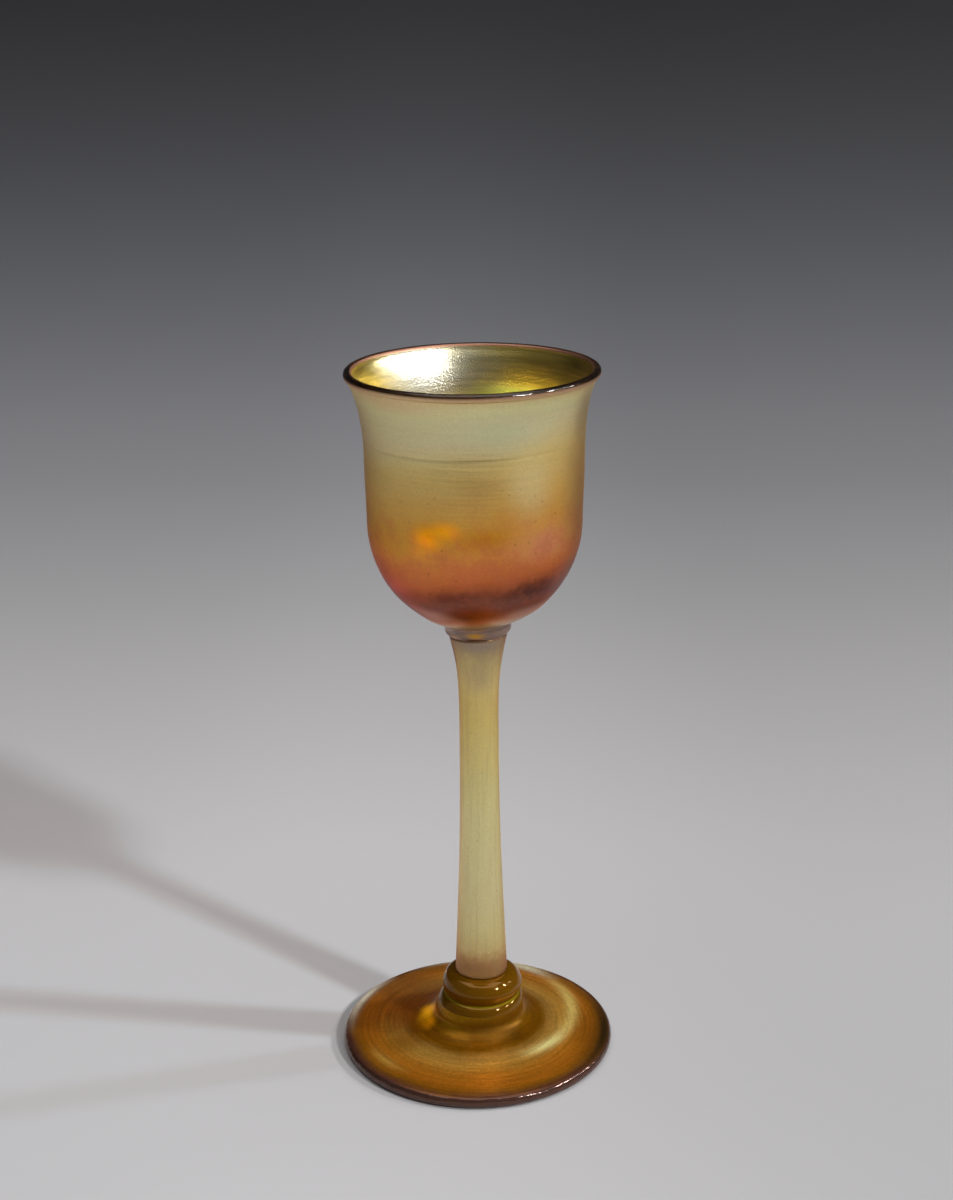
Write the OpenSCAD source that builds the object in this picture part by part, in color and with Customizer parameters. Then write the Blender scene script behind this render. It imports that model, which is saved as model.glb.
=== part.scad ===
// Cordial glass: a blown bell bowl on a wafer, a drawn stem, a knop and a disc foot.
// The five pieces stack on the Z axis, each seated face to face on the one below, and the table is z = 0.

/* [Bowl] */
// Height of the bowl from its seat to the top of the lip
bowl_h = 46.4; // [42:0.2:54]
// Diameter over the lip
lip_d = 44.1; // [42:0.1:50]
// Diameter of the waist under the flare
neck_d = 38.2; // [36:0.1:40]
// Diameter where the rounded base meets the wall
body_d = 37.7; // [35:0.1:39.5]
// Height of the flared mouth, from the waist to the top of the lip
flare_h = 16.7; // [13:0.1:20]
// Height of the rounded base, from the seat to the straight part of the wall
base_h = 19.3; // [16:0.1:22]
// Angle of the flare at the lip, from the vertical
flare_angle = 30; // [20:1:38]
// Thickness of the wall at the lip
lip_wall = 1.2; // [0.9:0.05:1.4]
// Thickness of the wall at the body
body_wall = 1.5; // [1.2:0.05:2]
// Thickness of the base on the axis
base_wall = 2.4; // [2:0.1:3.4]
// Diameter of the bead rolled along the lip
bead_d = 1.5; // [1.45:0.05:2.1]
// Diameter of the bowl's flat seat on the wafer
seat_d = 8; // [6:0.1:9]

/* [Wafer] */
// Thickness of the wafer
wafer_h = 1.7; // [1.2:0.1:2.2]
// How far the wafer's rounded edge stands out past the stem
wafer_lip = 0.75; // [0.4:0.05:1.2]

/* [Stem] */
// Height of the stem
stem_h = 67.4; // [50:0.2:84]
// Diameter of the stem's top end
stem_top_d = 10.4; // [9.6:0.1:11.2]
// Diameter of the stem at its narrowest
stem_waist_d = 7.1; // [6:0.1:8.2]
// Diameter of the stem's bottom end
stem_end_d = 9.7; // [8.8:0.1:10.4]
// Height of the flare above the narrowest point
stem_flare_h = 17.9; // [12:0.1:24]
// Radius of the rounding at both ends
stem_round = 0.4; // [0.2:0.05:0.7]

/* [Knop] */
// Height of the knop
knop_h = 4.5; // [3.6:0.1:6]
// Diameter over the knop
knop_d = 14.9; // [14.2:0.1:17]
// Height of the knop's widest point above its seat
knop_widest_h = 2; // [1.5:0.1:2.6]

/* [Foot] */
// Diameter of the foot
foot_d = 51; // [44:0.5:60]
// Thickness of the foot's rounded edge
edge_t = 2.3; // [1.8:0.1:3]
// Height of the foot, to the top of its boss
foot_h = 10; // [8.6:0.1:12]
// Diameter of the boss in the middle of the foot
boss_d = 16.6; // [15.6:0.1:19]
// Height of the boss's rounded shoulder
shoulder_h = 3.4; // [2.6:0.1:4.2]
// Diameter of the seam between the boss and the knop
seam_d = 13.4; // [12:0.1:14]
// Width of the flat ring that the foot rests on
rest_w = 3.35; // [1.5:0.05:5]
// Rise of the hollow underside
hollow_h = 1.1; // [0.6:0.1:1.5]
// Diameter of the ground pontil dish
pontil_d = 11; // [9:0.5:14]
// Depth of the ground pontil dish
pontil_h = 0.7; // [0.4:0.1:1]

/* [Quality] */
// Facets round each turned form
facets = 128; // [64:4:192]

/* [Hidden] */

// Heights of the seats, each on the piece below.
knop_z = foot_h;
stem_z = knop_z + knop_h;
wafer_z = stem_z + stem_h;
bowl_z = wafer_z + wafer_h;

// How far a curve's handles reach, as shares of the stretch that they belong to.
wall_share = 0.35;
flare_low_share = 0.49;
flare_high_share = 0.22;
stem_waist_share = 0.42;
stem_low_share = 0.45;
stem_top_waist_share = 0.5;
stem_top_share = 0.35;
disc_shares = [0.56, 0.28];
boss_share = 0.6;
hollow_share = 0.45;

// Widening of the stem over its height, at each end.
stem_low_slope_share = 0.043;
stem_top_slope_share = 0.24;

// Height of the wafer's widest point, as a share of its own height.
wafer_widest_share = 0.65;

// Steps along a long curve and round a short one.
long_steps = 14;
short_steps = 7;

// Points of a cubic curve from a to d, with handles b and c, without its first point.
function curve(a, b, c, d, steps) = [
    for (i = [1 : steps])
        let (t = i / steps, s = 1 - t)
        s * s * s * a + 3 * s * s * t * b + 3 * s * t * t * c + t * t * t * d
];

// Points of an arc of an ellipse round centre, from one angle to another, both ends included.
function arc(centre, rx, rz, from, to, steps) = [
    for (i = [0 : steps])
        let (turn = from + (to - from) * i / steps)
        centre + [rx * cos(turn), rz * sin(turn)]
];

// A solid turned round the Z axis from an outline of [radius, height] points.
module turned(outline) {
    rotate_extrude($fn = facets) polygon(outline);
}

// The bowl's lip: a bead on the middle line of the flare, which leaves it at flare_angle.
bead_r = bead_d / 2;
bead_at = [lip_d / 2 - bead_r, bowl_h - bead_r];
along = [sin(flare_angle), cos(flare_angle)];
across = [cos(flare_angle), -sin(flare_angle)];
bead_overlap = sqrt(bead_r * bead_r - lip_wall * lip_wall / 4);
flare_out = bead_at + across * lip_wall / 2 - along * bead_overlap;
flare_in = bead_at - across * lip_wall / 2 - along * bead_overlap;
bead_half_angle = asin(lip_wall / 2 / bead_r);
bead_from = 270 - flare_angle + bead_half_angle;
bead_to = bead_from + 360 - 2 * bead_half_angle;

// Outside of the bowl, from its seat up to the lip. The base is an arc of an ellipse, cut off at the seat.
function bowl_outside() =
    let (
        belly = [body_d / 2, base_h],
        neck = [neck_d / 2, bowl_h - flare_h],
        seat_turn = acos(seat_d / body_d),
        wall = (neck.y - belly.y) * wall_share,
        mouth = flare_out.y - neck.y
    )
    concat(
        arc([0, base_h], belly.x, base_h / sin(seat_turn), -seat_turn, 0, long_steps),
        curve(belly, belly + [0, wall], neck - [0, wall], neck, short_steps),
        curve(neck, neck + [0, mouth * flare_low_share], flare_out - along * mouth * flare_high_share,
            flare_out, long_steps)
    );

// Inside of the bowl, from the lip down to the axis. The base is a quarter of an ellipse.
function bowl_inside() =
    let (
        neck = [neck_d / 2 - body_wall, bowl_h - flare_h],
        belly = [body_d / 2 - body_wall, base_h],
        wall = (neck.y - belly.y) * wall_share,
        mouth = flare_in.y - neck.y
    )
    concat(
        curve(flare_in, flare_in - along * mouth * flare_high_share, neck + [0, mouth * flare_low_share],
            neck, long_steps),
        curve(neck, neck - [0, wall], belly + [0, wall], belly, short_steps),
        arc([0, base_h], belly.x, base_h - base_wall, 0, -90, long_steps)
    );

module bowl() {
    color([0.74, 0.6, 0.3])
        translate([0, 0, bowl_z])
            turned(concat(
                [[0, 0]],
                bowl_outside(),
                arc(bead_at, bead_r, bead_r, bead_from, bead_to, long_steps),
                bowl_inside()
            ));
}

// The wafer's bottom fits the stem. Its top is domed up to the bowl's seat, with a narrow groove round it.
module wafer() {
    widest = wafer_h * wafer_widest_share;
    low_r = stem_top_d / 2;
    top_r = seat_d / 2;
    edge_r = low_r + wafer_lip;
    color([0.62, 0.5, 0.42])
        translate([0, 0, wafer_z])
            turned(concat(
                [[0, 0]],
                arc([low_r, widest], wafer_lip, widest, -90, 0, short_steps),
                arc([top_r, widest], edge_r - top_r, wafer_h - widest, 0, 90, short_steps),
                [[0, wafer_h]]
            ));
}

// The stem narrows slowly from its bottom end to its waist, then opens quickly to its top end.
module stem() {
    end = [stem_end_d / 2, stem_round];
    waist = [stem_waist_d / 2, stem_h - stem_flare_h];
    top = [stem_top_d / 2, stem_h - stem_round];
    low_span = waist.y - end.y;
    top_span = top.y - waist.y;
    low_handle = low_span * stem_low_share;
    top_handle = top_span * stem_top_share;
    color([0.76, 0.7, 0.45])
        translate([0, 0, stem_z])
            turned(concat(
                [[0, 0]],
                arc(end - [stem_round, 0], stem_round, stem_round, -90, 0, short_steps),
                curve(end, end + [-low_handle * stem_low_slope_share, low_handle],
                    waist - [0, low_span * stem_waist_share], waist, long_steps),
                curve(waist, waist + [0, top_span * stem_top_waist_share],
                    top - [top_handle * stem_top_slope_share, top_handle], top, long_steps),
                arc(top - [stem_round, 0], stem_round, stem_round, 0, 90, short_steps),
                [[0, stem_h]]
            ));
}

// The knop's flat bottom fits the boss's seam, and its flat top fits the stem.
module knop() {
    seam_r = seam_d / 2;
    top_r = stem_end_d / 2;
    color([0.48, 0.3, 0.06])
        translate([0, 0, knop_z])
            turned(concat(
                [[0, 0]],
                arc([seam_r, knop_widest_h], knop_d / 2 - seam_r, knop_widest_h, -90, 0, short_steps),
                arc([top_r, knop_widest_h], knop_d / 2 - top_r, knop_h - knop_widest_h, 0, 90, short_steps),
                [[0, knop_h]]
            ));
}

// The foot rests on a flat ring inside its rounded edge. Its top sweeps up from the edge into the boss.
module foot() {
    edge_r = edge_t / 2;
    edge_at = [foot_d / 2 - edge_r, edge_r];
    rim = edge_at + [0, edge_r];
    boss = [boss_d / 2, foot_h - shoulder_h];
    rest = [edge_at.x - rest_w, 0];
    dish = [pontil_d / 2, hollow_h];
    sweep = [rim.x - boss.x, boss.y - rim.y];
    hollow_handle = [(rest.x - dish.x) * hollow_share, 0];
    color([0.66, 0.42, 0.08])
        turned(concat(
            arc([0, dish.y], dish.x, pontil_h, 90, 0, short_steps),
            curve(dish, dish + hollow_handle, rest - hollow_handle, rest, long_steps),
            arc(edge_at, edge_r, edge_r, -90, 90, long_steps),
            curve(rim, rim + [-sweep.x * disc_shares.x, sweep.y * disc_shares.y],
                boss - [0, sweep.y * boss_share], boss, long_steps),
            arc([seam_d / 2, boss.y], boss.x - seam_d / 2, shoulder_h, 0, 90, short_steps),
            [[0, foot_h]]
        ));
}

bowl();
wafer();
stem();
knop();
foot();
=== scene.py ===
# %% [markdown]
# # A small lustred cordial glass
# The glass is blown and worked hot from amber glass, and a thin metallic lustre is sprayed on while
# it still glows. It is made of five pieces fused end to end: a bell bowl, a wafer, a drawn stem, a
# knop and a disc foot. This lesson dresses the measured frame of those five pieces. Each one is
# turned again as a smooth form, with the slight lean, rings and tool mark of handwork, and gets its
# finish from procedural nodes.

# %% Load the measured frame
from math import acos, asin, cos, degrees, pi, radians, sin, sqrt

import bpy
from mathutils import Matrix, Vector


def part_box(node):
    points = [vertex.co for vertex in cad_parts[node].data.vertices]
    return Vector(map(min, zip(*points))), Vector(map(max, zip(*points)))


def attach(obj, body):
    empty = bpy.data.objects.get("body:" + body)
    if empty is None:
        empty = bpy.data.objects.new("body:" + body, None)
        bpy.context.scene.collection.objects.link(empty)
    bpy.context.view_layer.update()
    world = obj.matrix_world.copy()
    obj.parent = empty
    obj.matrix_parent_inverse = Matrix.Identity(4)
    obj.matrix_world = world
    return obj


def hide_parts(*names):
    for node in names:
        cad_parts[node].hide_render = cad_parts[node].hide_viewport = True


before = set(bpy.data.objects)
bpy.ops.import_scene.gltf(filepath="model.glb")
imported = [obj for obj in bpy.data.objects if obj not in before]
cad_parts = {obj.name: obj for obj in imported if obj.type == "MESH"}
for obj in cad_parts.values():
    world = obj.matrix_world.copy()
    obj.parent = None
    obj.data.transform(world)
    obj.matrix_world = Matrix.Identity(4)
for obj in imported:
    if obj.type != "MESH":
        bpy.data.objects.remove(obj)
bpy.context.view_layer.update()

# %% [markdown]
# ## Camera
# The photograph looks down on the glass from the front, a little above the lip. The pinhole below was
# worked out by fitting the outline of the glass: it gives the place, the downward pitch, the tiny
# roll and the lens. A tall frame is easiest to match with a vertical sensor fit, because then the
# lens follows the picture's height.

# %% Camera
MM = 0.001
PICTURE_HEIGHT_PX = 1200
FOCAL_PX = 1871.8
SENSOR_MM = 36
CAMERA_AT = Vector((0, -314.97, 191.59)) * MM
CAMERA_PITCH = radians(18.24)
CAMERA_YAW = radians(-0.04)
CAMERA_ROLL = radians(-0.35)

camera_data = bpy.data.cameras.new("camera")
camera_data.sensor_fit = "VERTICAL"
camera_data.sensor_height = SENSOR_MM
camera_data.lens = FOCAL_PX / PICTURE_HEIGHT_PX * SENSOR_MM
camera_data.clip_start = 10 * MM
camera = bpy.data.objects.new("camera", camera_data)
aim = Matrix.Rotation(CAMERA_YAW, 4, "Z") @ Matrix.Rotation(pi / 2 - CAMERA_PITCH, 4, "X")
camera.matrix_world = Matrix.Translation(CAMERA_AT) @ aim @ Matrix.Rotation(CAMERA_ROLL, 4, "Z")
bpy.context.scene.collection.objects.link(camera)
bpy.context.scene.camera = camera
print("lens", round(camera_data.lens, 2), "mm")

# %% [markdown]
# ## Small helpers for node trees
# Geometry and shader trees are both wired by hand here. One helper adds a node, sets its properties
# and fills its inputs, either with a value or with a link from another node's output. The others are
# the few nodes that come back all the time, such as a sum or a change of range, so that a finish
# reads like a recipe.

# %% Node helpers
def put(tree, kind, inputs=None, **settings):
    """Adds a node to a tree, sets its properties, then links or sets each named input."""
    node = tree.nodes.new(kind)
    for name, value in settings.items():
        setattr(node, name, value)
    for key, value in (inputs or {}).items():
        if isinstance(value, bpy.types.NodeSocket):
            tree.links.new(value, node.inputs[key])
        else:
            node.inputs[key].default_value = value
    return node


def sums(tree, operation, *values, clamp=False):
    """The output of a Math node whose inputs are values or sockets."""
    inputs = dict(enumerate(values))
    return put(tree, "ShaderNodeMath", inputs, operation=operation, use_clamp=clamp).outputs[0]


def add_inputs(tree, inputs):
    """Gives a tree its named inputs, from (name, kind of socket, value)."""
    for name, kind, value in inputs:
        socket = tree.interface.new_socket(name=name, in_out="INPUT", socket_type="NodeSocket" + kind)
        if value is not None:
            socket.default_value = value


def stretched(tree, value, low, high, out_low=0.0, out_high=1.0, ease="LINEAR"):
    """A value mapped from one range to another, and held inside it. A finish names all four ends at once."""
    return put(tree, "ShaderNodeMapRange", {
        "Value": value, "From Min": low, "From Max": high, "To Min": out_low, "To Max": out_high},
        interpolation_type=ease).outputs[0]


def parts_of(tree, vector):
    """The X, Y and Z of a vector."""
    return put(tree, "ShaderNodeSeparateXYZ", {0: vector}).outputs


def bell(tree, value, middle, width):
    """A soft hump of 1 where a value is in the middle, which fades within about two widths."""
    off = sums(tree, "DIVIDE", sums(tree, "SUBTRACT", value, middle), width)
    return sums(tree, "EXPONENT", sums(tree, "MULTIPLY", sums(tree, "MULTIPLY", off, off), -1.0))


def noise(tree, vector, scale, detail):
    """Noise at a place, as a value that stays near a half."""
    return put(tree, "ShaderNodeTexNoise", {"Vector": vector, "Scale": scale, "Detail": detail}).outputs[0]


print("helpers for both kinds of tree are ready")

# %% Material helpers
GLASS_IOR = 1.5


def new_material(name):
    """A material with an empty tree and its output node."""
    material = bpy.data.materials.new(name)
    material.use_nodes = True
    material.node_tree.nodes.clear()
    return material, material.node_tree, material.node_tree.nodes.new("ShaderNodeOutputMaterial")


def shade_with(tree, output, inputs):
    """Ends a material with a Principled shader that has the given inputs."""
    shader = put(tree, "ShaderNodeBsdfPrincipled", inputs)
    tree.links.new(shader.outputs[0], output.inputs[0])


def object_place(tree):
    """Where a point lies on its piece, in metres."""
    return put(tree, "ShaderNodeTexCoord").outputs["Object"]


def colour_ramp(tree, share, stops, low, high, mode="LINEAR"):
    """The colour at a share of a ramp, whose stops are given as (place, colour) between low and high."""
    node = put(tree, "ShaderNodeValToRGB", {0: share})
    ramp = node.color_ramp
    ramp.interpolation = mode
    while len(ramp.elements) > 1:
        ramp.elements.remove(ramp.elements[-1])
    for index, (place, colour) in enumerate(stops):
        position = (place - low) / (high - low)
        element = ramp.elements.new(position) if index else ramp.elements[0]
        element.position = position
        element.color = (*colour, 1)
    return node.outputs[0]


def tinted(tree, colour, factor, other, blend="MIX"):
    """A colour moved towards another one by a factor."""
    return put(tree, "ShaderNodeMix", {0: factor, 6: colour, 7: (*other, 1)},
               data_type="RGBA", blend_type=blend).outputs[2]


def scaled(tree, colour, factor):
    """A colour or a vector times a factor."""
    return put(tree, "ShaderNodeVectorMath", {0: colour, "Scale": factor}, operation="SCALE").outputs[0]


print("index of refraction of the glass", GLASS_IOR)

# %% [markdown]
# ## Backdrop
# The glass stands on one sheet of graded studio paper, pale where it lies flat and dark where it
# hangs behind. A strip bent through a quarter turn has no corner, so the grade stays smooth. The
# strip's UV map counts the metres along the paper, and a colour ramp reads it, so the grade belongs
# to the paper and not to the view.

# %% Backdrop
PAPER_WIDTH = 5.0
PAPER_FRONT_Y = -1.6
PAPER_BEND_Y = 0.42
PAPER_BEND_R = 0.35
PAPER_TOP_Z = 2.2
BEND_STEPS = 24


def paper_line():
    """Points of the paper from its front edge to its top, as (y, z)."""
    line = [(PAPER_FRONT_Y, 0)]
    for step in range(BEND_STEPS + 1):
        turn = pi / 2 * step / BEND_STEPS
        line.append((PAPER_BEND_Y + PAPER_BEND_R * sin(turn), PAPER_BEND_R * (1 - cos(turn))))
    line.append((PAPER_BEND_Y + PAPER_BEND_R, PAPER_TOP_Z))
    return line


def make_paper():
    line = paper_line()
    run = [0]
    for (y0, z0), (y1, z1) in zip(line, line[1:]):
        run.append(run[-1] + sqrt((y1 - y0) ** 2 + (z1 - z0) ** 2))
    half = PAPER_WIDTH / 2
    points = [(x, y, z) for y, z in line for x in (-half, half)]
    faces = [(2 * i, 2 * i + 1, 2 * i + 3, 2 * i + 2) for i in range(len(line) - 1)]
    mesh = bpy.data.meshes.new("backdrop")
    mesh.from_pydata(points, [], faces)
    layer = mesh.uv_layers.new(name="metres")
    for loop in mesh.loops:
        x = points[loop.vertex_index][0]
        layer.data[loop.index].uv = (x, run[loop.vertex_index // 2] + PAPER_FRONT_Y)
    for face in mesh.polygons:
        face.use_smooth = True
    paper = bpy.data.objects.new("backdrop", mesh)
    bpy.context.scene.collection.objects.link(paper)
    return paper


backdrop = make_paper()
print("paper points", len(backdrop.data.vertices))

# %% [markdown]
# ## Paper finish
# The paper's grade is a ramp of shades along it. A second ramp across it is painted light, the
# falloff of the lamps' light, lightest just left of the glass. On the real table, light that has gone
# through the amber bowl warms the shadows a little. Traced light would need very many samples to show
# that, so the warm tint is laid on the paper itself, as a soft band along each shadow.

# %% Paper shades
PAPER_GRADE = [
    # metres along the paper from under the glass, and its colour there
    (-0.05, (0.458, 0.452, 0.460)),
    (0.02, (0.458, 0.451, 0.459)),
    (0.06, (0.455, 0.446, 0.452)),
    (0.10, (0.437, 0.427, 0.430)),
    (0.15, (0.400, 0.391, 0.392)),
    (0.21, (0.358, 0.349, 0.350)),
    (0.27, (0.314, 0.308, 0.312)),
    (0.34, (0.270, 0.266, 0.273)),
    (0.42, (0.233, 0.232, 0.243)),
    (0.50, (0.176, 0.177, 0.186)),
    (0.56, (0.131, 0.132, 0.140)),
    (0.62, (0.090, 0.091, 0.098)),
    (0.68, (0.057, 0.058, 0.063)),
    (0.74, (0.034, 0.034, 0.038)),
    (0.80, (0.018, 0.018, 0.020)),
    (0.90, (0.012, 0.012, 0.014)),
]
GRADE_LOW = -0.2
GRADE_HIGH = 1.3
PAPER_SIDE_LIGHT_FALLOFF = [
    # metres to the right of the glass, and the painted falloff of the lamps' light on the paper there
    (-0.15, 1.06),
    (-0.085, 1.06),
    (-0.045, 1.13),
    (0.0, 1.10),
    (0.04, 1.02),
    (0.08, 0.94),
    (0.15, 0.96),
]
PAPER_SIDE_REACH = 0.15
PAPER_SIDE_MAX = 1.2
print("paper shades", len(PAPER_GRADE), "along,", len(PAPER_SIDE_LIGHT_FALLOFF), "across")

# %% Warm shadows
AMBER_LIGHT = (1.0, 0.955, 0.925)
AMBER_SHADOWS = [
    # azimuth of a shadow in degrees, where the bowl's shadow begins along it in millimetres, strength
    (138.5, 112.0, 1.0),
    (171.5, 122.0, 1.0),
    (195.0, 132.0, 0.5),
]
SHADOW_FROM = 18.0
SHADOW_FULL = 30.0
STEM_SHADOW_HALF = 5.0
BOWL_SHADOW_HALF = 20.0
BOWL_SHADOW_GROWS = 22.0
SHADOW_SIDE_SHARES = (1.2, 0.5)


def amber_shadow(tree, azimuth, reach, strength):
    """A narrow band on the paper along one shadow, which widens where the bowl's shadow begins."""
    turned = put(tree, "ShaderNodeMapping", {
        "Vector": object_place(tree), "Rotation": (0, 0, radians(180 - azimuth))}).outputs[0]
    part = parts_of(tree, turned)
    along = sums(tree, "MULTIPLY", part["X"], -1.0)
    half = stretched(tree, along, reach * MM, (reach + BOWL_SHADOW_GROWS) * MM,
                     STEM_SHADOW_HALF * MM, BOWL_SHADOW_HALF * MM)
    off = sums(tree, "ABSOLUTE", sums(tree, "DIVIDE", part["Y"], half))
    side = stretched(tree, off, *SHADOW_SIDE_SHARES, ease="SMOOTHSTEP")
    start = stretched(tree, along, SHADOW_FROM * MM, SHADOW_FULL * MM, 0.0, strength)
    return sums(tree, "MULTIPLY", side, start)


print("amber shadows", len(AMBER_SHADOWS))

# %% Paper material
def paper_material():
    material, tree, output = new_material("paper")
    place = parts_of(tree, put(tree, "ShaderNodeUVMap", uv_map="metres").outputs[0])
    along = stretched(tree, place["Y"], GRADE_LOW, GRADE_HIGH)
    grade = colour_ramp(tree, along, PAPER_GRADE, GRADE_LOW, GRADE_HIGH, "B_SPLINE")
    # painted light: the side ramp is the lamps' falloff across the paper
    across = stretched(tree, place["X"], -PAPER_SIDE_REACH, PAPER_SIDE_REACH)
    greys = [(x, [shade / PAPER_SIDE_MAX] * 3) for x, shade in PAPER_SIDE_LIGHT_FALLOFF]
    side = colour_ramp(tree, across, greys, -PAPER_SIDE_REACH, PAPER_SIDE_REACH, "B_SPLINE")
    both = put(tree, "ShaderNodeVectorMath", {0: grade, 1: side}, operation="MULTIPLY").outputs[0]
    colour = scaled(tree, both, PAPER_SIDE_MAX)
    for azimuth, reach, strength in AMBER_SHADOWS:
        band = amber_shadow(tree, azimuth, reach, strength)
        colour = tinted(tree, colour, band, AMBER_LIGHT, "MULTIPLY")
    shade_with(tree, output, {"Base Color": colour, "Roughness": 0.8, "Specular IOR Level": 0.2})
    return material


backdrop.data.materials.append(paper_material())
print("paper nodes", len(backdrop.data.materials[0].node_tree.nodes))

# %% [markdown]
# ## Light
# The shadows of the photograph tell where the light comes from: three small bright windows on the
# right, the strongest of them in front. Each one is an area lamp straight across the glass from its
# shadow. They are small, so the stem keeps a clear shadow. A large soft lamp overhead and a dim grey
# room fill the rest. The room is dimmest at the heights that the mouth and the foot mirror, so the
# gold keeps its depth.

# %% Windows
WINDOWS = [
    # name, azimuth and elevation in degrees, distance, width and height in metres, strength in watts
    ("window_front", -41.5, 35, 6.0, 0.41, 0.60, 172.0),
    ("window_right", -8.5, 33, 6.0, 0.38, 0.56, 145.0),
    ("window_side", 15, 31, 6.0, 0.34, 0.52, 55.0),
    ("overhead", 90, 87, 2.2, 2.60, 2.60, 31.0),
]
WINDOW_AIM = Vector((0, 0, 70)) * MM


def window_lamp(name, azimuth, elevation, distance, width, height, watts):
    """An area lamp at a bearing round the glass, turned to face it."""
    lamp = bpy.data.lights.new(name, "AREA")
    lamp.shape = "RECTANGLE"
    lamp.size = width
    lamp.size_y = height
    lamp.energy = watts
    level = distance * cos(radians(elevation))
    place = WINDOW_AIM + Vector((level * cos(radians(azimuth)), level * sin(radians(azimuth)),
                                 distance * sin(radians(elevation))))
    obj = bpy.data.objects.new(name, lamp)
    obj.location = place
    obj.rotation_euler = (WINDOW_AIM - place).to_track_quat("-Z", "Y").to_euler()
    bpy.context.scene.collection.objects.link(obj)


for window in WINDOWS:
    window_lamp(*window)
print("lamps", len(WINDOWS))

# %% Room
ROOM_GRADE = [
    # sine of the height above the horizon, and the colour of the room there
    (-1.0, (0.40, 0.40, 0.40)),
    (-0.1, (0.40, 0.40, 0.40)),
    (0.12, (0.12, 0.12, 0.125)),
    (0.78, (0.12, 0.12, 0.125)),
    (0.92, (0.45, 0.45, 0.46)),
]


def make_room():
    """A world whose grey depends only on the height above the horizon."""
    world = bpy.data.worlds.new("room")
    world.use_nodes = True
    tree = world.node_tree
    toward = parts_of(tree, put(tree, "ShaderNodeTexCoord").outputs["Generated"])["Z"]
    shade = colour_ramp(tree, stretched(tree, toward, -1.0, 1.0), ROOM_GRADE, -1.0, 1.0)
    tree.links.new(shade, tree.nodes["Background"].inputs["Color"])
    return world


bpy.context.scene.world = make_room()
bpy.context.scene.view_settings.view_transform = "Standard"
print("room shades", len(ROOM_GRADE))

# %% [markdown]
# ## Outlines
# Every piece of the glass is turned, so its shape is one outline of radius and height. The outlines
# are drawn in millimetres from the same few sizes as the frame: heights and widths come from the
# frame's boxes, and the rest are named here. Each run of an outline carries a region number, which
# later picks its finish.

# %% Curves for the outlines
FILM = 0
GLASS = 1
MIRROR = 2
SEAM = 3
SEAT_STEPS = 4


def cubic(a, b, c, d, steps):
    """Points of a cubic curve from a to d with handles b and c, without the first point."""
    line = []
    for i in range(1, steps + 1):
        t = i / steps
        s = 1 - t
        line.append(a * s ** 3 + b * (3 * s * s * t) + c * (3 * s * t * t) + d * t ** 3)
    return line


def sweep(centre, rx, rz, start, end, steps):
    """Points of an arc of an ellipse round a centre, from one angle to another in degrees."""
    line = []
    for i in range(steps + 1):
        turn = radians(start + (end - start) * i / steps)
        line.append(centre + Vector((rx * cos(turn), rz * sin(turn))))
    return line


def straight(a, b, steps):
    """Evenly spaced points from a to b, without the first point."""
    return [a.lerp(b, i / steps) for i in range(1, steps + 1)]


def seat_run(edge):
    """The flat seat of a piece, from the axis to just before its edge."""
    axis = Vector((0, 0))
    return [axis] + straight(axis, edge, SEAT_STEPS)[:-1]


def crown_run(edge, height):
    """The flat top of a piece, from just inside its edge to the axis."""
    return straight(edge, Vector((0, height)), SEAT_STEPS)


def count(runs):
    """Number of points in an outline's runs."""
    return sum(len(run) for run, kind in runs)


quarter = sweep(Vector((0, 0)), 1, 1, 0, 90, 2)
print("quarter of a circle in two steps", [[round(v, 3) for v in p] for p in quarter])

# %% Sizes from the frame
def box_mm(node):
    """Height of a node's seat, its own height and its diameter, in millimetres."""
    low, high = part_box(node)
    return low.z / MM, (high.z - low.z) / MM, (high.x - low.x) / MM


bowl_z, bowl_h, lip_d = box_mm("bowl")
wafer_z, wafer_h, wafer_d = box_mm("wafer")
stem_z, stem_h, stem_top_d = box_mm("stem")
knop_z, knop_h, knop_d = box_mm("knop")
foot_z, foot_h, foot_d = box_mm("foot")
print("seats", [round(v, 2) for v in (foot_z, knop_z, stem_z, wafer_z, bowl_z)])

# %% Bowl sizes
NECK_D = 38.2
BODY_D = 37.7
FLARE_H = 16.7
BASE_H = 19.3
FLARE_ANGLE = radians(30)
LIP_WALL = 1.2
BODY_WALL = 1.5
BASE_WALL = 2.4
BEAD_D = 1.5
SEAT_D = 8.0
WALL_SHARE = 0.35
FLARE_LOW_SHARE = 0.49
FLARE_HIGH_SHARE = 0.22

# The film ends on the outside of the bead, and the mirror begins on its inside, at these angles from level.
BARE_FROM = 15
BARE_TO = 125

base_depth = BASE_H / sin(acos(SEAT_D / BODY_D))
bead_r = BEAD_D / 2
bead_at = Vector((lip_d / 2 - bead_r, bowl_h - bead_r))
flare_along = Vector((sin(FLARE_ANGLE), cos(FLARE_ANGLE)))
flare_across = Vector((cos(FLARE_ANGLE), -sin(FLARE_ANGLE)))
bead_overlap = sqrt(bead_r ** 2 - LIP_WALL ** 2 / 4)
flare_out = bead_at + flare_across * LIP_WALL / 2 - flare_along * bead_overlap
flare_in = bead_at - flare_across * LIP_WALL / 2 - flare_along * bead_overlap
print("flare ends", [round(v, 2) for v in (*flare_out, *flare_in)])

# %% Bowl outline
BOWL_STEPS = {"base": 64, "wall": 32, "flare": 96}
INSIDE_STEPS = {"base": 56, "wall": 28, "flare": 40}
BEAD_STEPS = {"film": 10, "bare": 16, "mirror": 6}


def bowl_wall(inset):
    """Belly, neck and their handle, on one side of the wall, which lies inset from the outside."""
    belly = Vector((BODY_D / 2 - inset, BASE_H))
    neck = Vector((NECK_D / 2 - inset, bowl_h - FLARE_H))
    return belly, neck, Vector((0, (neck.y - belly.y) * WALL_SHARE))


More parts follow.
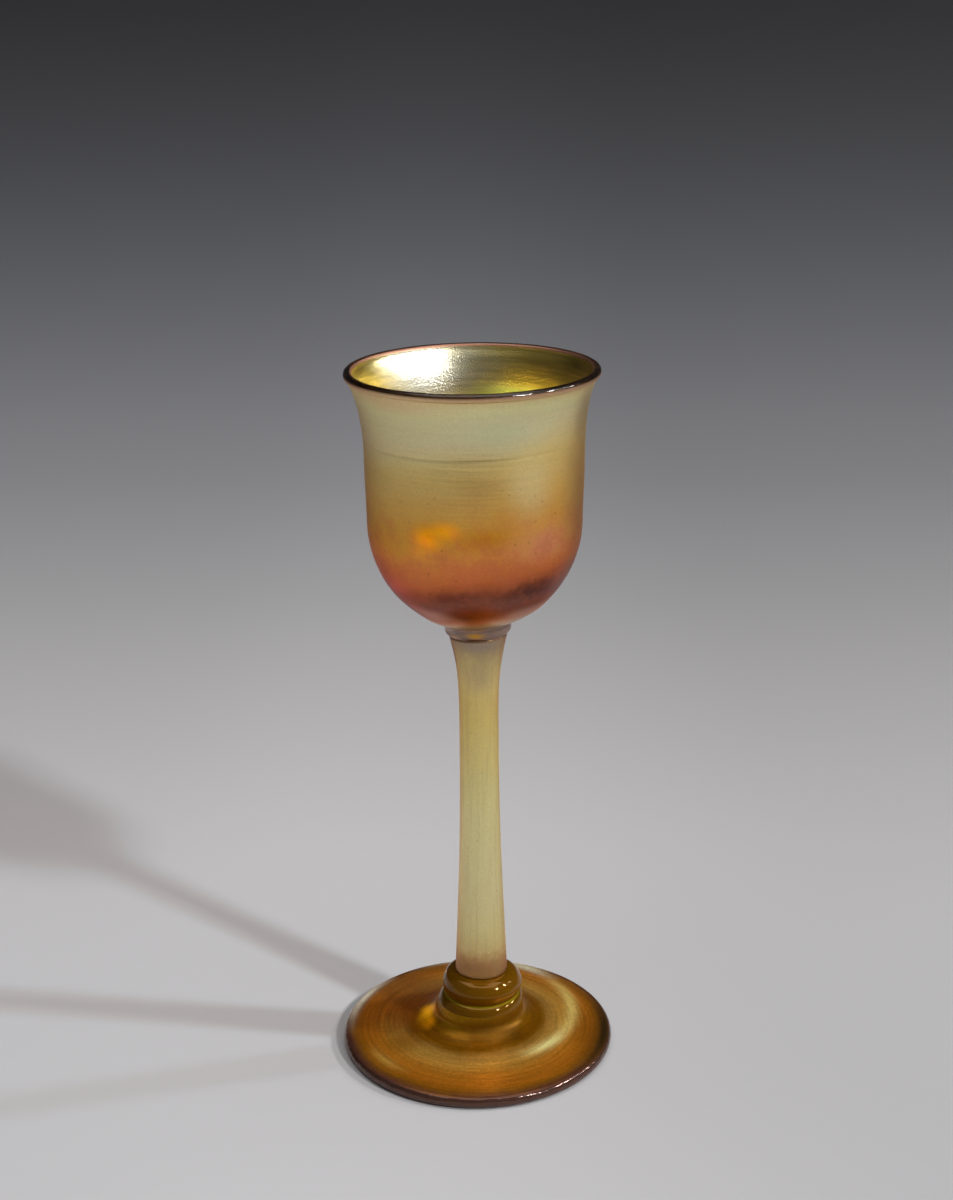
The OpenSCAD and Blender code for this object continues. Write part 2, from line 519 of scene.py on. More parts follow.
def bowl_outside():
    belly, neck, handle = bowl_wall(0)
    seat_turn = degrees(acos(SEAT_D / BODY_D))
    mouth = flare_out.y - neck.y
    line = sweep(Vector((0, BASE_H)), belly.x, base_depth, -seat_turn, 0, BOWL_STEPS["base"])
    line += cubic(belly, belly + handle, neck - handle, neck, BOWL_STEPS["wall"])
    return line + cubic(neck, neck + Vector((0, mouth * FLARE_LOW_SHARE)),
                        flare_out - flare_along * mouth * FLARE_HIGH_SHARE, flare_out, BOWL_STEPS["flare"])


def bowl_bead():
    """The rolled lip, as the stretch under the film, the bare one and the one that the mirror reaches."""
    half = degrees(asin(LIP_WALL / 2 / bead_r))
    start = 270 - degrees(FLARE_ANGLE) + half
    stops = [start, 360 + BARE_FROM, 360 + BARE_TO, start + 360 - 2 * half]
    return [sweep(bead_at, bead_r, bead_r, low, high, steps)[1:]
            for low, high, steps in zip(stops, stops[1:], BEAD_STEPS.values())]


def bowl_inside():
    belly, neck, handle = bowl_wall(BODY_WALL)
    mouth = flare_in.y - neck.y
    line = cubic(flare_in, flare_in - flare_along * mouth * FLARE_HIGH_SHARE,
                 neck + Vector((0, mouth * FLARE_LOW_SHARE)), neck, INSIDE_STEPS["flare"])
    line += cubic(neck, neck - handle, belly + handle, belly, INSIDE_STEPS["wall"])
    return line + sweep(Vector((0, BASE_H)), belly.x, BASE_H - BASE_WALL, 0, -90, INSIDE_STEPS["base"])[1:]


def bowl_outline():
    outside = bowl_outside()
    film, bare, mirror = bowl_bead()
    return [(seat_run(outside[0]), SEAM), (outside + film[:-1], FILM), (film[-1:] + bare[:-1], GLASS),
            (bare[-1:] + mirror[:-1] + bowl_inside(), MIRROR)]


bowl_runs = bowl_outline()
print("bowl outline points", count(bowl_runs))

# %% Wafer outline
WAFER_WIDEST_SHARE = 0.65
FILLET_R = 6.35
FILLET_GAP = 0.004
EDGE_HANDLE = Vector((0, 0.55))
BRIM_HANDLE = Vector((0.25, 0.3))
WAFER_STEPS = {"edge": 14, "fillet": 14, "crown": 16}


def under_bowl(radius):
    """The point of the wafer's top at a radius, a hair below the bowl's rounded base."""
    rise = max(BASE_H - base_depth * sqrt(1 - (2 * radius / BODY_D) ** 2), 0)
    return Vector((radius, wafer_h + rise - FILLET_GAP))


def wafer_outline():
    widest = Vector((stem_top_d / 2, wafer_h * WAFER_WIDEST_SHARE))
    edge = sweep(widest, wafer_d / 2 - widest.x, widest.y, -90, 0, WAFER_STEPS["edge"])
    brim = under_bowl(FILLET_R)
    fillet = cubic(edge[-1], edge[-1] + EDGE_HANDLE, brim - BRIM_HANDLE, brim, WAFER_STEPS["fillet"])
    steps = WAFER_STEPS["crown"]
    crown = [under_bowl(FILLET_R * (1 - step / steps)) for step in range(1, steps + 1)]
    return [(seat_run(edge[0]), SEAM), (edge + fillet, FILM), (crown, SEAM)]


wafer_runs = wafer_outline()
print("wafer outline points", count(wafer_runs))

# %% Stem outline
STEM_WAIST_D = 7.1
STEM_END_D = 9.7
STEM_FLARE_H = 17.9
STEM_ROUND = 0.4
STEM_SHARES = {"low": 0.45, "waist": 0.42, "top_waist": 0.5, "top": 0.35}
STEM_SLOPES = {"low": 0.043, "top": 0.24}
STEM_STEPS = {"round": 8, "low": 70, "top": 44}


def stem_outline():
    end = Vector((STEM_END_D / 2, STEM_ROUND))
    waist = Vector((STEM_WAIST_D / 2, stem_h - STEM_FLARE_H))
    top = Vector((stem_top_d / 2, stem_h - STEM_ROUND))
    inset = Vector((STEM_ROUND, 0))
    low_span = waist.y - end.y
    top_span = top.y - waist.y
    low_handle = low_span * STEM_SHARES["low"]
    top_handle = top_span * STEM_SHARES["top"]
    side = sweep(end - inset, STEM_ROUND, STEM_ROUND, -90, 0, STEM_STEPS["round"])
    side += cubic(end, end + Vector((-low_handle * STEM_SLOPES["low"], low_handle)),
                  waist - Vector((0, low_span * STEM_SHARES["waist"])), waist, STEM_STEPS["low"])
    side += cubic(waist, waist + Vector((0, top_span * STEM_SHARES["top_waist"])),
                  top - Vector((top_handle * STEM_SLOPES["top"], top_handle)), top, STEM_STEPS["top"])
    side += sweep(top - inset, STEM_ROUND, STEM_ROUND, 0, 90, STEM_STEPS["round"])[1:]
    return [(seat_run(side[0]), SEAM), (side, FILM), (crown_run(side[-1], stem_h), SEAM)]


stem_runs = stem_outline()
print("stem outline points", count(stem_runs))

# %% Knop outline
SEAM_D = 13.4
KNOP_WIDEST_H = 2.0
KNOP_BAND_TO = 50
KNOP_BAND_HANDLE = 0.5
KNOP_STEPS = {"low": 18, "band": 18, "top": 16}


def knop_outline():
    """A rounded bottom, then a nearly straight band, then a rounded shoulder."""
    seam_r = SEAM_D / 2
    top_r = STEM_END_D / 2
    low = sweep(Vector((seam_r, KNOP_WIDEST_H)), knop_d / 2 - seam_r, KNOP_WIDEST_H,
                -90, 0, KNOP_STEPS["low"])
    top = sweep(Vector((top_r, KNOP_WIDEST_H)), knop_d / 2 - top_r, knop_h - KNOP_WIDEST_H,
                KNOP_BAND_TO, 90, KNOP_STEPS["top"])
    leaving = (top[0] - top[1]).normalized() * KNOP_BAND_HANDLE
    band = cubic(low[-1], low[-1] + Vector((0, KNOP_BAND_HANDLE)), top[0] + leaving, top[0],
                 KNOP_STEPS["band"])
    return [(seat_run(low[0]), SEAM), (low + band + top[1:], GLASS), (crown_run(top[-1], knop_h), SEAM)]


knop_runs = knop_outline()
print("knop outline points", count(knop_runs))

# %% Foot sizes
EDGE_T = 2.3
BOSS_D = 16.6
SHOULDER_H = 3.4
REST_W = 3.35
HOLLOW_H = 1.1
PONTIL_D = 11.0
PONTIL_H = 0.7
DISC_SHARES = (0.56, 0.28)
BOSS_SHARE = 0.6
HOLLOW_SHARE = 0.45

# The film begins on the rounded edge and ends on the boss's shoulder, at these angles from level.
EDGE_BARE_TO = 48
SHOULDER_FILM_TO = 28

edge_r = EDGE_T / 2
edge_at = Vector((foot_d / 2 - edge_r, edge_r))
boss = Vector((BOSS_D / 2, foot_h - SHOULDER_H))
print("foot edge at", [round(v, 2) for v in edge_at], "boss at", [round(v, 2) for v in boss])

# %% Foot outline
FOOT_STEPS = {
    "pontil": 24, "hollow": 40, "rest": 6, "edge": 26, "brim": 8, "disc": 80, "film": 8, "shoulder": 18}


def foot_underside():
    """From the axis over the pontil dish and the hollow, to the outer side of the rest ring."""
    rest = Vector((edge_at.x - REST_W, 0))
    dish = Vector((PONTIL_D / 2, HOLLOW_H))
    handle = Vector(((rest.x - dish.x) * HOLLOW_SHARE, 0))
    line = sweep(Vector((0, dish.y)), dish.x, PONTIL_H, 90, 0, FOOT_STEPS["pontil"])
    line += cubic(dish, dish + handle, rest - handle, rest, FOOT_STEPS["hollow"])
    return line + straight(rest, edge_at - Vector((0, edge_r)), FOOT_STEPS["rest"])


def foot_disc():
    """The top of the disc, which sweeps up from the edge into the boss."""
    rim = edge_at + Vector((0, edge_r))
    reach = Vector((rim.x - boss.x, boss.y - rim.y))
    return cubic(rim, rim + Vector((-reach.x * DISC_SHARES[0], reach.y * DISC_SHARES[1])),
                 boss - Vector((0, reach.y * BOSS_SHARE)), boss, FOOT_STEPS["disc"])


def foot_outline():
    edge = sweep(edge_at, edge_r, edge_r, -90, EDGE_BARE_TO, FOOT_STEPS["edge"])[1:]
    brim = sweep(edge_at, edge_r, edge_r, EDGE_BARE_TO, 90, FOOT_STEPS["brim"])[1:]
    seam_at = Vector((SEAM_D / 2, boss.y))
    width = boss.x - seam_at.x
    low = sweep(seam_at, width, SHOULDER_H, 0, SHOULDER_FILM_TO, FOOT_STEPS["film"])[1:]
    shoulder = sweep(seam_at, width, SHOULDER_H, SHOULDER_FILM_TO, 90, FOOT_STEPS["shoulder"])[1:]
    return [(foot_underside() + edge, GLASS), (brim + foot_disc() + low, FILM), (shoulder, MIRROR),
            (crown_run(shoulder[-1], foot_h), SEAM)]


foot_runs = foot_outline()
print("foot outline points", count(foot_runs))

# %% [markdown]
# ## Turning the pieces
# A Screw or Spin could turn an outline, but only into a perfect form. Handwork is never perfect: the
# pieces lean a little where they were joined, they are slightly out of round, and the tools leave
# shallow rings. A Geometry Nodes tree turns the outline and adds all of this in one place, with a
# named input for each amount. It lays a grid with one column for each step round the axis and one row
# for each outline point, and moves every grid point to its turned place. Then it closes the seam and
# the poles and gives each region its material.

# %% Inputs of the tree
TURNED_INPUTS = [
    ("Facets Round", "Int", 192),
    ("Tilt Right", "Float", 0.0),
    ("Tilt Back", "Float", 0.0),
    ("Tilt Drop", "Float", 0.0),
    ("Tilt From", "Float", 0.0),
    ("Tilt To", "Float", 1.0),
    ("Out Of Round", "Float", 0.0),
    ("Ring Depth", "Float", 0.0),
    ("Ring Spacing", "Float", 0.002),
    ("Ring Swirl", "Float", 0.6),
    ("Mark Height", "Float", 0.0),
    ("Mark Depth", "Float", 0.0),
    ("Mark Width", "Float", 0.0004),
    ("Seed", "Float", 0.0),
    ("Film", "Material", None),
    ("Glass", "Material", None),
    ("Mirror", "Material", None),
    ("Seam", "Material", None),
]
print("named inputs", len(TURNED_INPUTS))

# %% Handwork in the tree
RING_DETAIL = 3.0
FRONT_BIAS = 0.5
FRONT_POWER = 3.0


def rings_and_mark(tree, given, c, s, along, height):
    """How far the shallow rings and the tool mark move the surface. The mark is deepest on the front."""
    swirl = put(tree, "ShaderNodeCombineXYZ", {
        "X": sums(tree, "MULTIPLY", c, given["Ring Swirl"]),
        "Y": sums(tree, "MULTIPLY", s, given["Ring Swirl"]),
        "Z": sums(tree, "ADD", sums(tree, "DIVIDE", along, given["Ring Spacing"]), given["Seed"]),
    }).outputs[0]
    waves = sums(tree, "SUBTRACT", noise(tree, swirl, 1.0, RING_DETAIL), 0.5)
    ring = sums(tree, "MULTIPLY", waves, given["Ring Depth"])
    groove = bell(tree, height, given["Mark Height"], given["Mark Width"])
    front = sums(tree, "SUBTRACT", FRONT_BIAS, sums(tree, "MULTIPLY", s, FRONT_BIAS))
    depth = sums(tree, "MULTIPLY", groove, given["Mark Depth"])
    mark = sums(tree, "MULTIPLY", depth, sums(tree, "POWER", front, FRONT_POWER))
    return sums(tree, "SUBTRACT", ring, mark)


def raised(tree, given, x, y, height, joint):
    """How far the lean of a piece, which grows from one height to another, and the joints raise a point."""
    rise = stretched(tree, height, given["Tilt From"], given["Tilt To"], ease="SMOOTHSTEP")
    back = sums(tree, "MULTIPLY", y, given["Tilt Back"])
    plane = sums(tree, "MULTIPLY_ADD", x, given["Tilt Right"], back)
    lean = sums(tree, "MULTIPLY", sums(tree, "SUBTRACT", plane, given["Tilt Drop"]), rise)
    return sums(tree, "MULTIPLY_ADD", x, joint, lean)


print("regions", FILM, GLASS, MIRROR, SEAM)

# %% The tree that turns an outline
MERGE_DISTANCE = 0.0000005


def turned_form_tree():
    tree = bpy.data.node_groups.new("turned_form", "GeometryNodeTree")
    tree.is_modifier = True
    add_inputs(tree, [("Outline", "Geometry", None)] + TURNED_INPUTS)
    tree.interface.new_socket(name="Form", in_out="OUTPUT", socket_type="NodeSocketGeometry")
    given = put(tree, "NodeGroupInput").outputs
    rows = put(tree, "GeometryNodeAttributeDomainSize", {0: given["Outline"]}).outputs["Point Count"]
    columns = sums(tree, "ADD", given["Facets Round"], 1)
    grid = put(tree, "GeometryNodeMeshGrid", {"Vertices X": columns, "Vertices Y": rows}).outputs["Mesh"]

    def named(kind, name):
        return put(tree, "GeometryNodeInputNamedAttribute", {"Name": name}, data_type=kind).outputs[0]

    def sampled(kind, value, at):
        return put(tree, "GeometryNodeSampleIndex", {
            "Geometry": given["Outline"], "Value": value, "Index": at},
            data_type=kind, domain="POINT").outputs[0]

    # Which outline point and which angle a grid point stands for.
    index = put(tree, "GeometryNodeInputIndex").outputs[0]
    row = sums(tree, "FLOORED_MODULO", index, rows)
    column = sums(tree, "FLOOR", sums(tree, "DIVIDE", sums(tree, "ADD", index, 0.5), rows))
    turn = sums(tree, "MULTIPLY", sums(tree, "DIVIDE", column, given["Facets Round"]), 2 * pi)
    c = sums(tree, "COSINE", turn)
    s = sums(tree, "SINE", turn)
    position = put(tree, "GeometryNodeInputPosition").outputs[0]
    place = parts_of(tree, sampled("FLOAT_VECTOR", position, row))
    outward = parts_of(tree, sampled("FLOAT_VECTOR", named("FLOAT_VECTOR", "outward"), row))
    rings, along, shift, joint = [
        sampled("FLOAT", named("FLOAT", name), row) for name in ("rings", "along", "shift", "joint")]

    # Radius and height with the rings and the mark, then slightly out of round.
    push = sums(tree, "MULTIPLY", rings_and_mark(tree, given, c, s, along, place["Z"]), rings)
    height = sums(tree, "ADD", place["Z"], sums(tree, "MULTIPLY", outward["Z"], push))
    radius = sums(tree, "ADD", place["X"], sums(tree, "MULTIPLY", outward["X"], push))
    oval = sums(tree, "COSINE", sums(tree, "MULTIPLY_ADD", turn, 2.0, given["Seed"]))
    radius = sums(tree, "MULTIPLY", radius, sums(tree, "MULTIPLY_ADD", oval, given["Out Of Round"], 1.0))

    # The turned place, with the sideways shift of the axis and the lean.
    x = sums(tree, "MULTIPLY", radius, c)
    y = sums(tree, "MULTIPLY", radius, s)
    up = sums(tree, "ADD", height, raised(tree, given, x, y, place["Z"], joint))
    shifted = sums(tree, "ADD", x, shift)
    turned = put(tree, "ShaderNodeCombineXYZ", {"X": shifted, "Y": y, "Z": up}).outputs[0]
    form = put(tree, "GeometryNodeSetPosition", {"Geometry": grid, "Position": turned}).outputs[0]

    # A face lies between two rows, so it takes the region of its lower row.
    face_row = sums(tree, "FLOORED_MODULO", index, sums(tree, "SUBTRACT", rows, 1))
    form = put(tree, "GeometryNodeStoreNamedAttribute", {
        "Geometry": form, "Name": "region", "Value": sampled("INT", named("INT", "region"), face_row)},
        data_type="INT", domain="FACE").outputs[0]
    form = put(tree, "GeometryNodeStoreNamedAttribute", {
        "Geometry": form, "Name": "rule", "Value": place["Z"]},
        data_type="FLOAT", domain="POINT").outputs[0]
    form = put(tree, "GeometryNodeMergeByDistance", {
        "Geometry": form, "Distance": MERGE_DISTANCE}).outputs[0]
    form = put(tree, "GeometryNodeSetShadeSmooth", {"Geometry": form, "Shade Smooth": True}).outputs[0]
    form = put(tree, "GeometryNodeRealizeInstances", {"Geometry": form}).outputs[0]
    for number, name in ((FILM, "Film"), (GLASS, "Glass"), (MIRROR, "Mirror"), (SEAM, "Seam")):
        here = put(tree, "FunctionNodeCompare", {2: named("INT", "region"), 3: number},
                   data_type="INT", operation="EQUAL").outputs[0]
        form = put(tree, "GeometryNodeSetMaterial", {
            "Geometry": form, "Selection": here, "Material": given[name]}).outputs[0]
    put(tree, "NodeGroupOutput", {"Form": form})
    return tree


turned_form = turned_form_tree()
print("turned form nodes", len(turned_form.nodes))

# %% [markdown]
# ## The crooked axis
# A glass that is joined hot never has a perfectly straight axis. In the photograph the boss and the
# knop sit a little to the right of the foot's middle, the stem comes back slightly, and the bowl is
# nearly centred again. The wafer was pressed on a few degrees out of level. Both are told by height,
# so that neighbours stay joined.

# %% Shift and tilt by height
SPINE = [
    # height and the shift to the right there, in millimetres
    (0, -0.1),
    (6, 0.2),
    (10, 0.75),
    (12, 0.9),
    (14.5, 0.7),
    (82, 0.5),
    (84, 0.4),
    (90, -0.1),
    (100, 0.0),
    (115, 0.0),
    (130, -0.3),
]

# The slope of the wafer's joints, and the heights where it starts, is full, begins to fade and has gone.
JOINT_TILT = 0.055
JOINT_HEIGHTS = (76.0, 81.5, 84.0, 88.5)


def eased(share):
    """A share from 0 to 1 that starts and stops softly."""
    return share * share * (3 - 2 * share)


def spine_shift(height):
    """How far sideways the middle of the glass lies at a height, in millimetres."""
    for (z0, x0), (z1, x1) in zip(SPINE, SPINE[1:]):
        if height <= z1:
            return x0 + (x1 - x0) * eased(max(height - z0, 0) / (z1 - z0))
    return SPINE[-1][1]


def joint_tilt(height):
    """Slope of the wafer's joints at a height."""
    start, full, still, end = JOINT_HEIGHTS
    grown = min(max((height - start) / (full - start), 0), 1)
    gone = min(max((height - still) / (end - still), 0), 1)
    return JOINT_TILT * eased(grown - gone)


print("shift at the knop", round(spine_shift(knop_z), 2), "mm")
print("tilt at the wafer", round(degrees(joint_tilt(wafer_z)), 1), "degrees")

# %% Turn one piece
RING_MARGIN = 3


def outline_object(name, runs, seat_z):
    """The outline as a chain of edges in the XZ plane, with what the tree reads as its attributes."""
    points = [p for run, _ in runs for p in run]
    regions = [kind for run, kind in runs for _ in run]
    last = len(points) - 1
    mesh = bpy.data.meshes.new(name + "_outline")
    mesh.from_pydata([(p.x * MM, 0, (p.y + seat_z) * MM) for p in points],
                     [(i, i + 1) for i in range(last)], [])
    outward, along, rings = [], [0.0], []
    for i, p in enumerate(points):
        before = points[max(i - 1, 0)]
        step = (points[min(i + 1, last)] - before).normalized()
        outward += [step.y, 0, -step.x]
        along.append(along[-1] + (p - before).length * MM)
        near = [regions[max(0, min(i + j, last))] for j in (-RING_MARGIN, 0, RING_MARGIN)]
        rings.append(0.0 if SEAM in near else 1.0)
    mesh.attributes.new("outward", "FLOAT_VECTOR", "POINT").data.foreach_set("vector", outward)
    mesh.attributes.new("region", "INT", "POINT").data.foreach_set("value", regions)
    values = {
        "along": along[1:],
        "rings": rings,
        "shift": [spine_shift(p.y + seat_z) * MM for p in points],
        "joint": [joint_tilt(p.y + seat_z) for p in points],
    }
    for attribute, numbers in values.items():
        mesh.attributes.new(attribute, "FLOAT", "POINT").data.foreach_set("value", numbers)
    obj = bpy.data.objects.new(name, mesh)
    bpy.context.scene.collection.objects.link(obj)
    return obj


def keep_used_slots(mesh):
    """Drops the material slots that no face uses, such as the empty one that a new grid starts with."""
    used = sorted({face.material_index for face in mesh.polygons})
    materials = [mesh.materials[i] for i in used]
    places = [used.index(face.material_index) for face in mesh.polygons]
    mesh.materials.clear()
    for material in materials:
        mesh.materials.append(material)
    mesh.polygons.foreach_set("material_index", places)


def turn_piece(name, runs, seat_z, **amounts):
    """Turns an outline with the tree, keeps the result as a plain mesh and drops the modifier."""
    obj = outline_object(name, runs, seat_z)
    modifier = obj.modifiers.new("turned_form", "NODES")
    modifier.node_group = turned_form
    for item in turned_form.interface.items_tree:
        if item.in_out == "INPUT" and item.name in amounts:
            modifier[item.identifier] = amounts.pop(item.name)
    assert not amounts, amounts
    depsgraph = bpy.context.evaluated_depsgraph_get()
    mesh = bpy.data.meshes.new_from_object(obj.evaluated_get(depsgraph))
    obj.modifiers.remove(modifier)
    outline = obj.data
    obj.data = mesh
    bpy.data.meshes.remove(outline)
    mesh.name = name
    keep_used_slots(mesh)
    print(name, len(mesh.polygons), "faces,", [m.name for m in mesh.materials])
    return obj


print("rings keep", RING_MARGIN, "points away from a seam")

# %% [markdown]
# ## Shared effects
# Some effects come back on several finishes, so each is a shader node group with named inputs, built
# once: the lines left by spinning, a soft mottle like breath on the lustre, small dark specks, and a
# soft patch round a place. A group only puts out a value or a mask. The shader that uses it stays in
# the material.

# %% Spun lines
def effect_group(name, inputs, output):
    """An empty shader group with its inputs, one value output and its input node's sockets."""
    group = bpy.data.node_groups.new(name, "ShaderNodeTree")
    add_inputs(group, inputs)
    group.interface.new_socket(name=output, in_out="OUTPUT", socket_type="NodeSocketFloat")
    return group, put(group, "NodeGroupInput").outputs


def off_axis(tree, middle=(0, 0)):
    """The level vector to a point from an upright line, which is the axis of the glass if none is given."""
    part = parts_of(tree, object_place(tree))
    return put(tree, "ShaderNodeCombineXYZ", {
        "X": sums(tree, "SUBTRACT", part["X"], middle[0] * MM),
        "Y": sums(tree, "SUBTRACT", part["Y"], middle[1] * MM)}).outputs[0]


def length_of(tree, vector):
    """The length of a vector."""
    return put(tree, "ShaderNodeVectorMath", {0: vector}, operation="LENGTH").outputs["Value"]


def spun_lines_group():
    """Noise that runs quickly up the piece, or across a disc, and slowly round the axis."""
    group, given = effect_group("spun_lines", [
        ("Lines Up", "Float", 900.0), ("Lines Across", "Float", 0.0), ("Swirl", "Float", 1.0),
        ("Detail", "Float", 3.0)], "Value")
    flat = off_axis(group)
    facing = put(group, "ShaderNodeVectorMath", {0: flat}, operation="NORMALIZE").outputs[0]
    around = scaled(group, facing, given["Swirl"])
    up = sums(group, "MULTIPLY", parts_of(group, object_place(group))["Z"], given["Lines Up"])
    level = sums(group, "MULTIPLY_ADD", length_of(group, flat), given["Lines Across"], up)
    line = put(group, "ShaderNodeCombineXYZ", {"Z": level}).outputs[0]
    vector = put(group, "ShaderNodeVectorMath", {0: around, 1: line}, operation="ADD").outputs[0]
    put(group, "NodeGroupOutput", {"Value": noise(group, vector, 1.0, given["Detail"])})
    return group


spun_lines = spun_lines_group()
print("spun lines nodes", len(spun_lines.nodes))

# %% Mottle
def mottle_group():
    """Soft cloudy patches from two sizes of noise."""
    group, given = effect_group("mottle", [
        ("Patches", "Float", 90.0), ("Grain", "Float", 900.0), ("Grain Share", "Float", 0.25)], "Value")
    large = noise(group, object_place(group), given["Patches"], 2.0)
    small = noise(group, object_place(group), given["Grain"], 2.0)
    mixed = put(group, "ShaderNodeMix", {0: given["Grain Share"], 2: large, 3: small}).outputs[0]
    put(group, "NodeGroupOutput", {"Value": mixed})
    return group


mottle = mottle_group()
print("mottle nodes", len(mottle.nodes))

# %% Specks
def specks_group():
    """Few small dark specks: the cores of scattered cells, of which only some are kept."""
    group, given = effect_group("specks", [
        ("Spread", "Float", 700.0), ("Size", "Float", 0.16), ("Kept", "Float", 0.1)], "Mask")
    cells = put(group, "ShaderNodeTexVoronoi", {
        "Vector": object_place(group), "Scale": given["Spread"]}).outputs
    core = sums(group, "SUBTRACT", 1.0, sums(group, "DIVIDE", cells["Distance"], given["Size"]), clamp=True)
    chance = put(group, "ShaderNodeSeparateColor", {0: cells["Color"]}).outputs[0]
    kept = sums(group, "LESS_THAN", chance, given["Kept"])
    put(group, "NodeGroupOutput", {"Mask": sums(group, "MULTIPLY", core, kept)})
    return group


specks = specks_group()
print("specks nodes", len(specks.nodes))

# %% Soft patch
def patch_group():
    """A soft patch with a ragged edge round a place, from 1 in its middle to 0 at its size."""
    group, given = effect_group("patch", [
        ("Middle", "Vector", (0.0, 0.0, 0.0)), ("Size", "Vector", (0.005, 0.005, 0.005)),
        ("Ragged", "Float", 0.3), ("Grain", "Float", 300.0)], "Mask")
    where = object_place(group)
    off = put(group, "ShaderNodeVectorMath", {
        0: where, 1: given["Middle"]}, operation="SUBTRACT").outputs[0]
    share = put(group, "ShaderNodeVectorMath", {0: off, 1: given["Size"]}, operation="DIVIDE").outputs[0]
    rough = sums(group, "SUBTRACT", noise(group, where, given["Grain"], 3.0), 0.5)
    wobble = sums(group, "MULTIPLY", rough, given["Ragged"])
    reach = sums(group, "ADD", length_of(group, share), wobble)
    put(group, "NodeGroupOutput", {"Mask": stretched(group, reach, 1.0, 0.0, ease="SMOOTHSTEP")})
    return group


patch = patch_group()
print("patch nodes", len(patch.nodes))

# %% Use of the effects
GLOW_RAGGED = 0.5
GLOW_POWER = 1.5


def use(tree, group, **values):
    """Places a shared effect in a material, with its own values, and returns its output."""
    inputs = {name.replace("_", " "): value for name, value in values.items()}
    return put(tree, "ShaderNodeGroup", inputs, node_tree=group).outputs[0]


def spot(tree, middle, size, **more):
    """The mask of a soft patch, whose middle and size are given in millimetres."""
    return use(tree, patch, Middle=Vector(middle) * MM, Size=Vector(size) * MM, **more)


def patched(tree, colour, patches):
    """Lays soft patches over a colour, each given as its middle, size, strength and colour."""
    for middle, size, strength, other in patches:
        mask = sums(tree, "MULTIPLY", spot(tree, middle, size), strength)
        colour = tinted(tree, colour, mask, other)
    return colour


def glow(tree, spots):
    """Light that the glass gathers behind its film, as soft spots of middle, size and colour."""
    colour = (0, 0, 0, 1)
    for middle, size, bright in spots:
        mask = spot(tree, middle, size, Ragged=GLOW_RAGGED)
        colour = tinted(tree, colour, sums(tree, "POWER", mask, GLOW_POWER), bright)
    return colour


def drift(tree, cloud, most):
    """A cloudy value as a drift to both sides, which is given in millimetres from end to end."""
    return sums(tree, "MULTIPLY", sums(tree, "SUBTRACT", cloud, 0.5), most * MM)


def ruled_height(tree):
    """Height of a point on the untilted outline, which the turned mesh carries as an attribute."""
    return put(tree, "ShaderNodeAttribute", attribute_name="rule").outputs["Fac"]


def height_share(tree, low, high, moved, side_tilt=0.0):
    """How far up a piece a point lies, from 0 to 1. A drift and a tilt keep the bands from being level."""
    part = parts_of(tree, object_place(tree))
    tilted = sums(tree, "MULTIPLY_ADD", part["X"], side_tilt, part["Z"])
    return stretched(tree, sums(tree, "ADD", tilted, moved), low * MM, high * MM)


def bumped(tree, height, strength, depth, below=None):
    """A surface direction with the relief of a height. The depth is given in millimetres."""
    inputs = {"Strength": strength, "Distance": depth * MM, "Height": height}
    if below is not None:
        inputs["Normal"] = below
    return put(tree, "ShaderNodeBump", inputs).outputs[0]


print("effects", [group.name for group in (spun_lines, mottle, specks, patch)])

# %% [markdown]
# ## Bowl finish
# The lustre on the bowl is a thin metal film on amber glass. It is pale and silky under the lip,
# turns olive gold and orange lower down, and thins to plum near the base, where light gets into the
# glass. Low down the bands are partly painted light: the dark plum band paints the foot's reflection,
# and the pale base paints the floor seen through the glass. A colour ramp read by height gives these
# bands, and a cloudy drift and a slight tilt keep them from looking printed. The film itself is a mix
# of metal and glass at a fixed share, with a tinted sheen at grazing angles.

# %% Bowl bands
BOWL_GRADE = [
    # height in millimetres, and the colour of the film there. Low down it is partly painted light:
    # the pale base below 88 mm is the floor seen through the glass, and the dark plum band from 89.5
    # to 93.8 mm is the foot's reflection
    (83.6, (1.00, 0.80, 0.56)),
    (86.0, (1.00, 0.92, 0.58)),
    (87.8, (0.84, 0.42, 0.21)),
    (89.5, (0.41, 0.135, 0.045)),
    (91.3, (0.31, 0.115, 0.082)),
    (92.6, (0.29, 0.105, 0.068)),
    (93.8, (0.32, 0.085, 0.044)),
    (95.0, (0.52, 0.13, 0.045)),
    (96.5, (0.78, 0.21, 0.06)),
    (100.5, (0.96, 0.33, 0.08)),
    (104.0, (0.96, 0.44, 0.07)),
    (108.0, (0.94, 0.52, 0.11)),
    (112.0, (0.95, 0.63, 0.19)),
    (117.0, (0.98, 0.76, 0.30)),
    (121.0, (0.98, 0.85, 0.46)),
    (125.0, (0.96, 0.88, 0.48)),
    (127.4, (1.00, 0.92, 0.48)),
    (128.6, (0.93, 0.74, 0.37)),
    (129.2, (0.66, 0.40, 0.24)),
    (129.6, (0.20, 0.10, 0.06)),
]
BOWL_LOW = 83.0
BOWL_HIGH = 130.5
BOWL_TILT = 0.12
BOWL_DRIFT = 5.0
LEVEL_FROM = 124.0
LEVEL_FULL = 127.0


def bowl_share(tree):
    """How far up the bowl a point lies for its bands, which drift and tilt, but run level along the lip."""
    cloud = use(tree, mottle, Patches=55.0, Grain=500.0, Grain_Share=0.1)
    bands = height_share(tree, BOWL_LOW, BOWL_HIGH, drift(tree, cloud, BOWL_DRIFT), -BOWL_TILT)
    level = stretched(tree, ruled_height(tree), BOWL_LOW * MM, BOWL_HIGH * MM)
    near_lip = stretched(tree, ruled_height(tree), LEVEL_FROM * MM, LEVEL_FULL * MM)
    return put(tree, "ShaderNodeMix", {0: near_lip, 2: bands, 3: level}).outputs[0]


print("bowl bands", len(BOWL_GRADE))
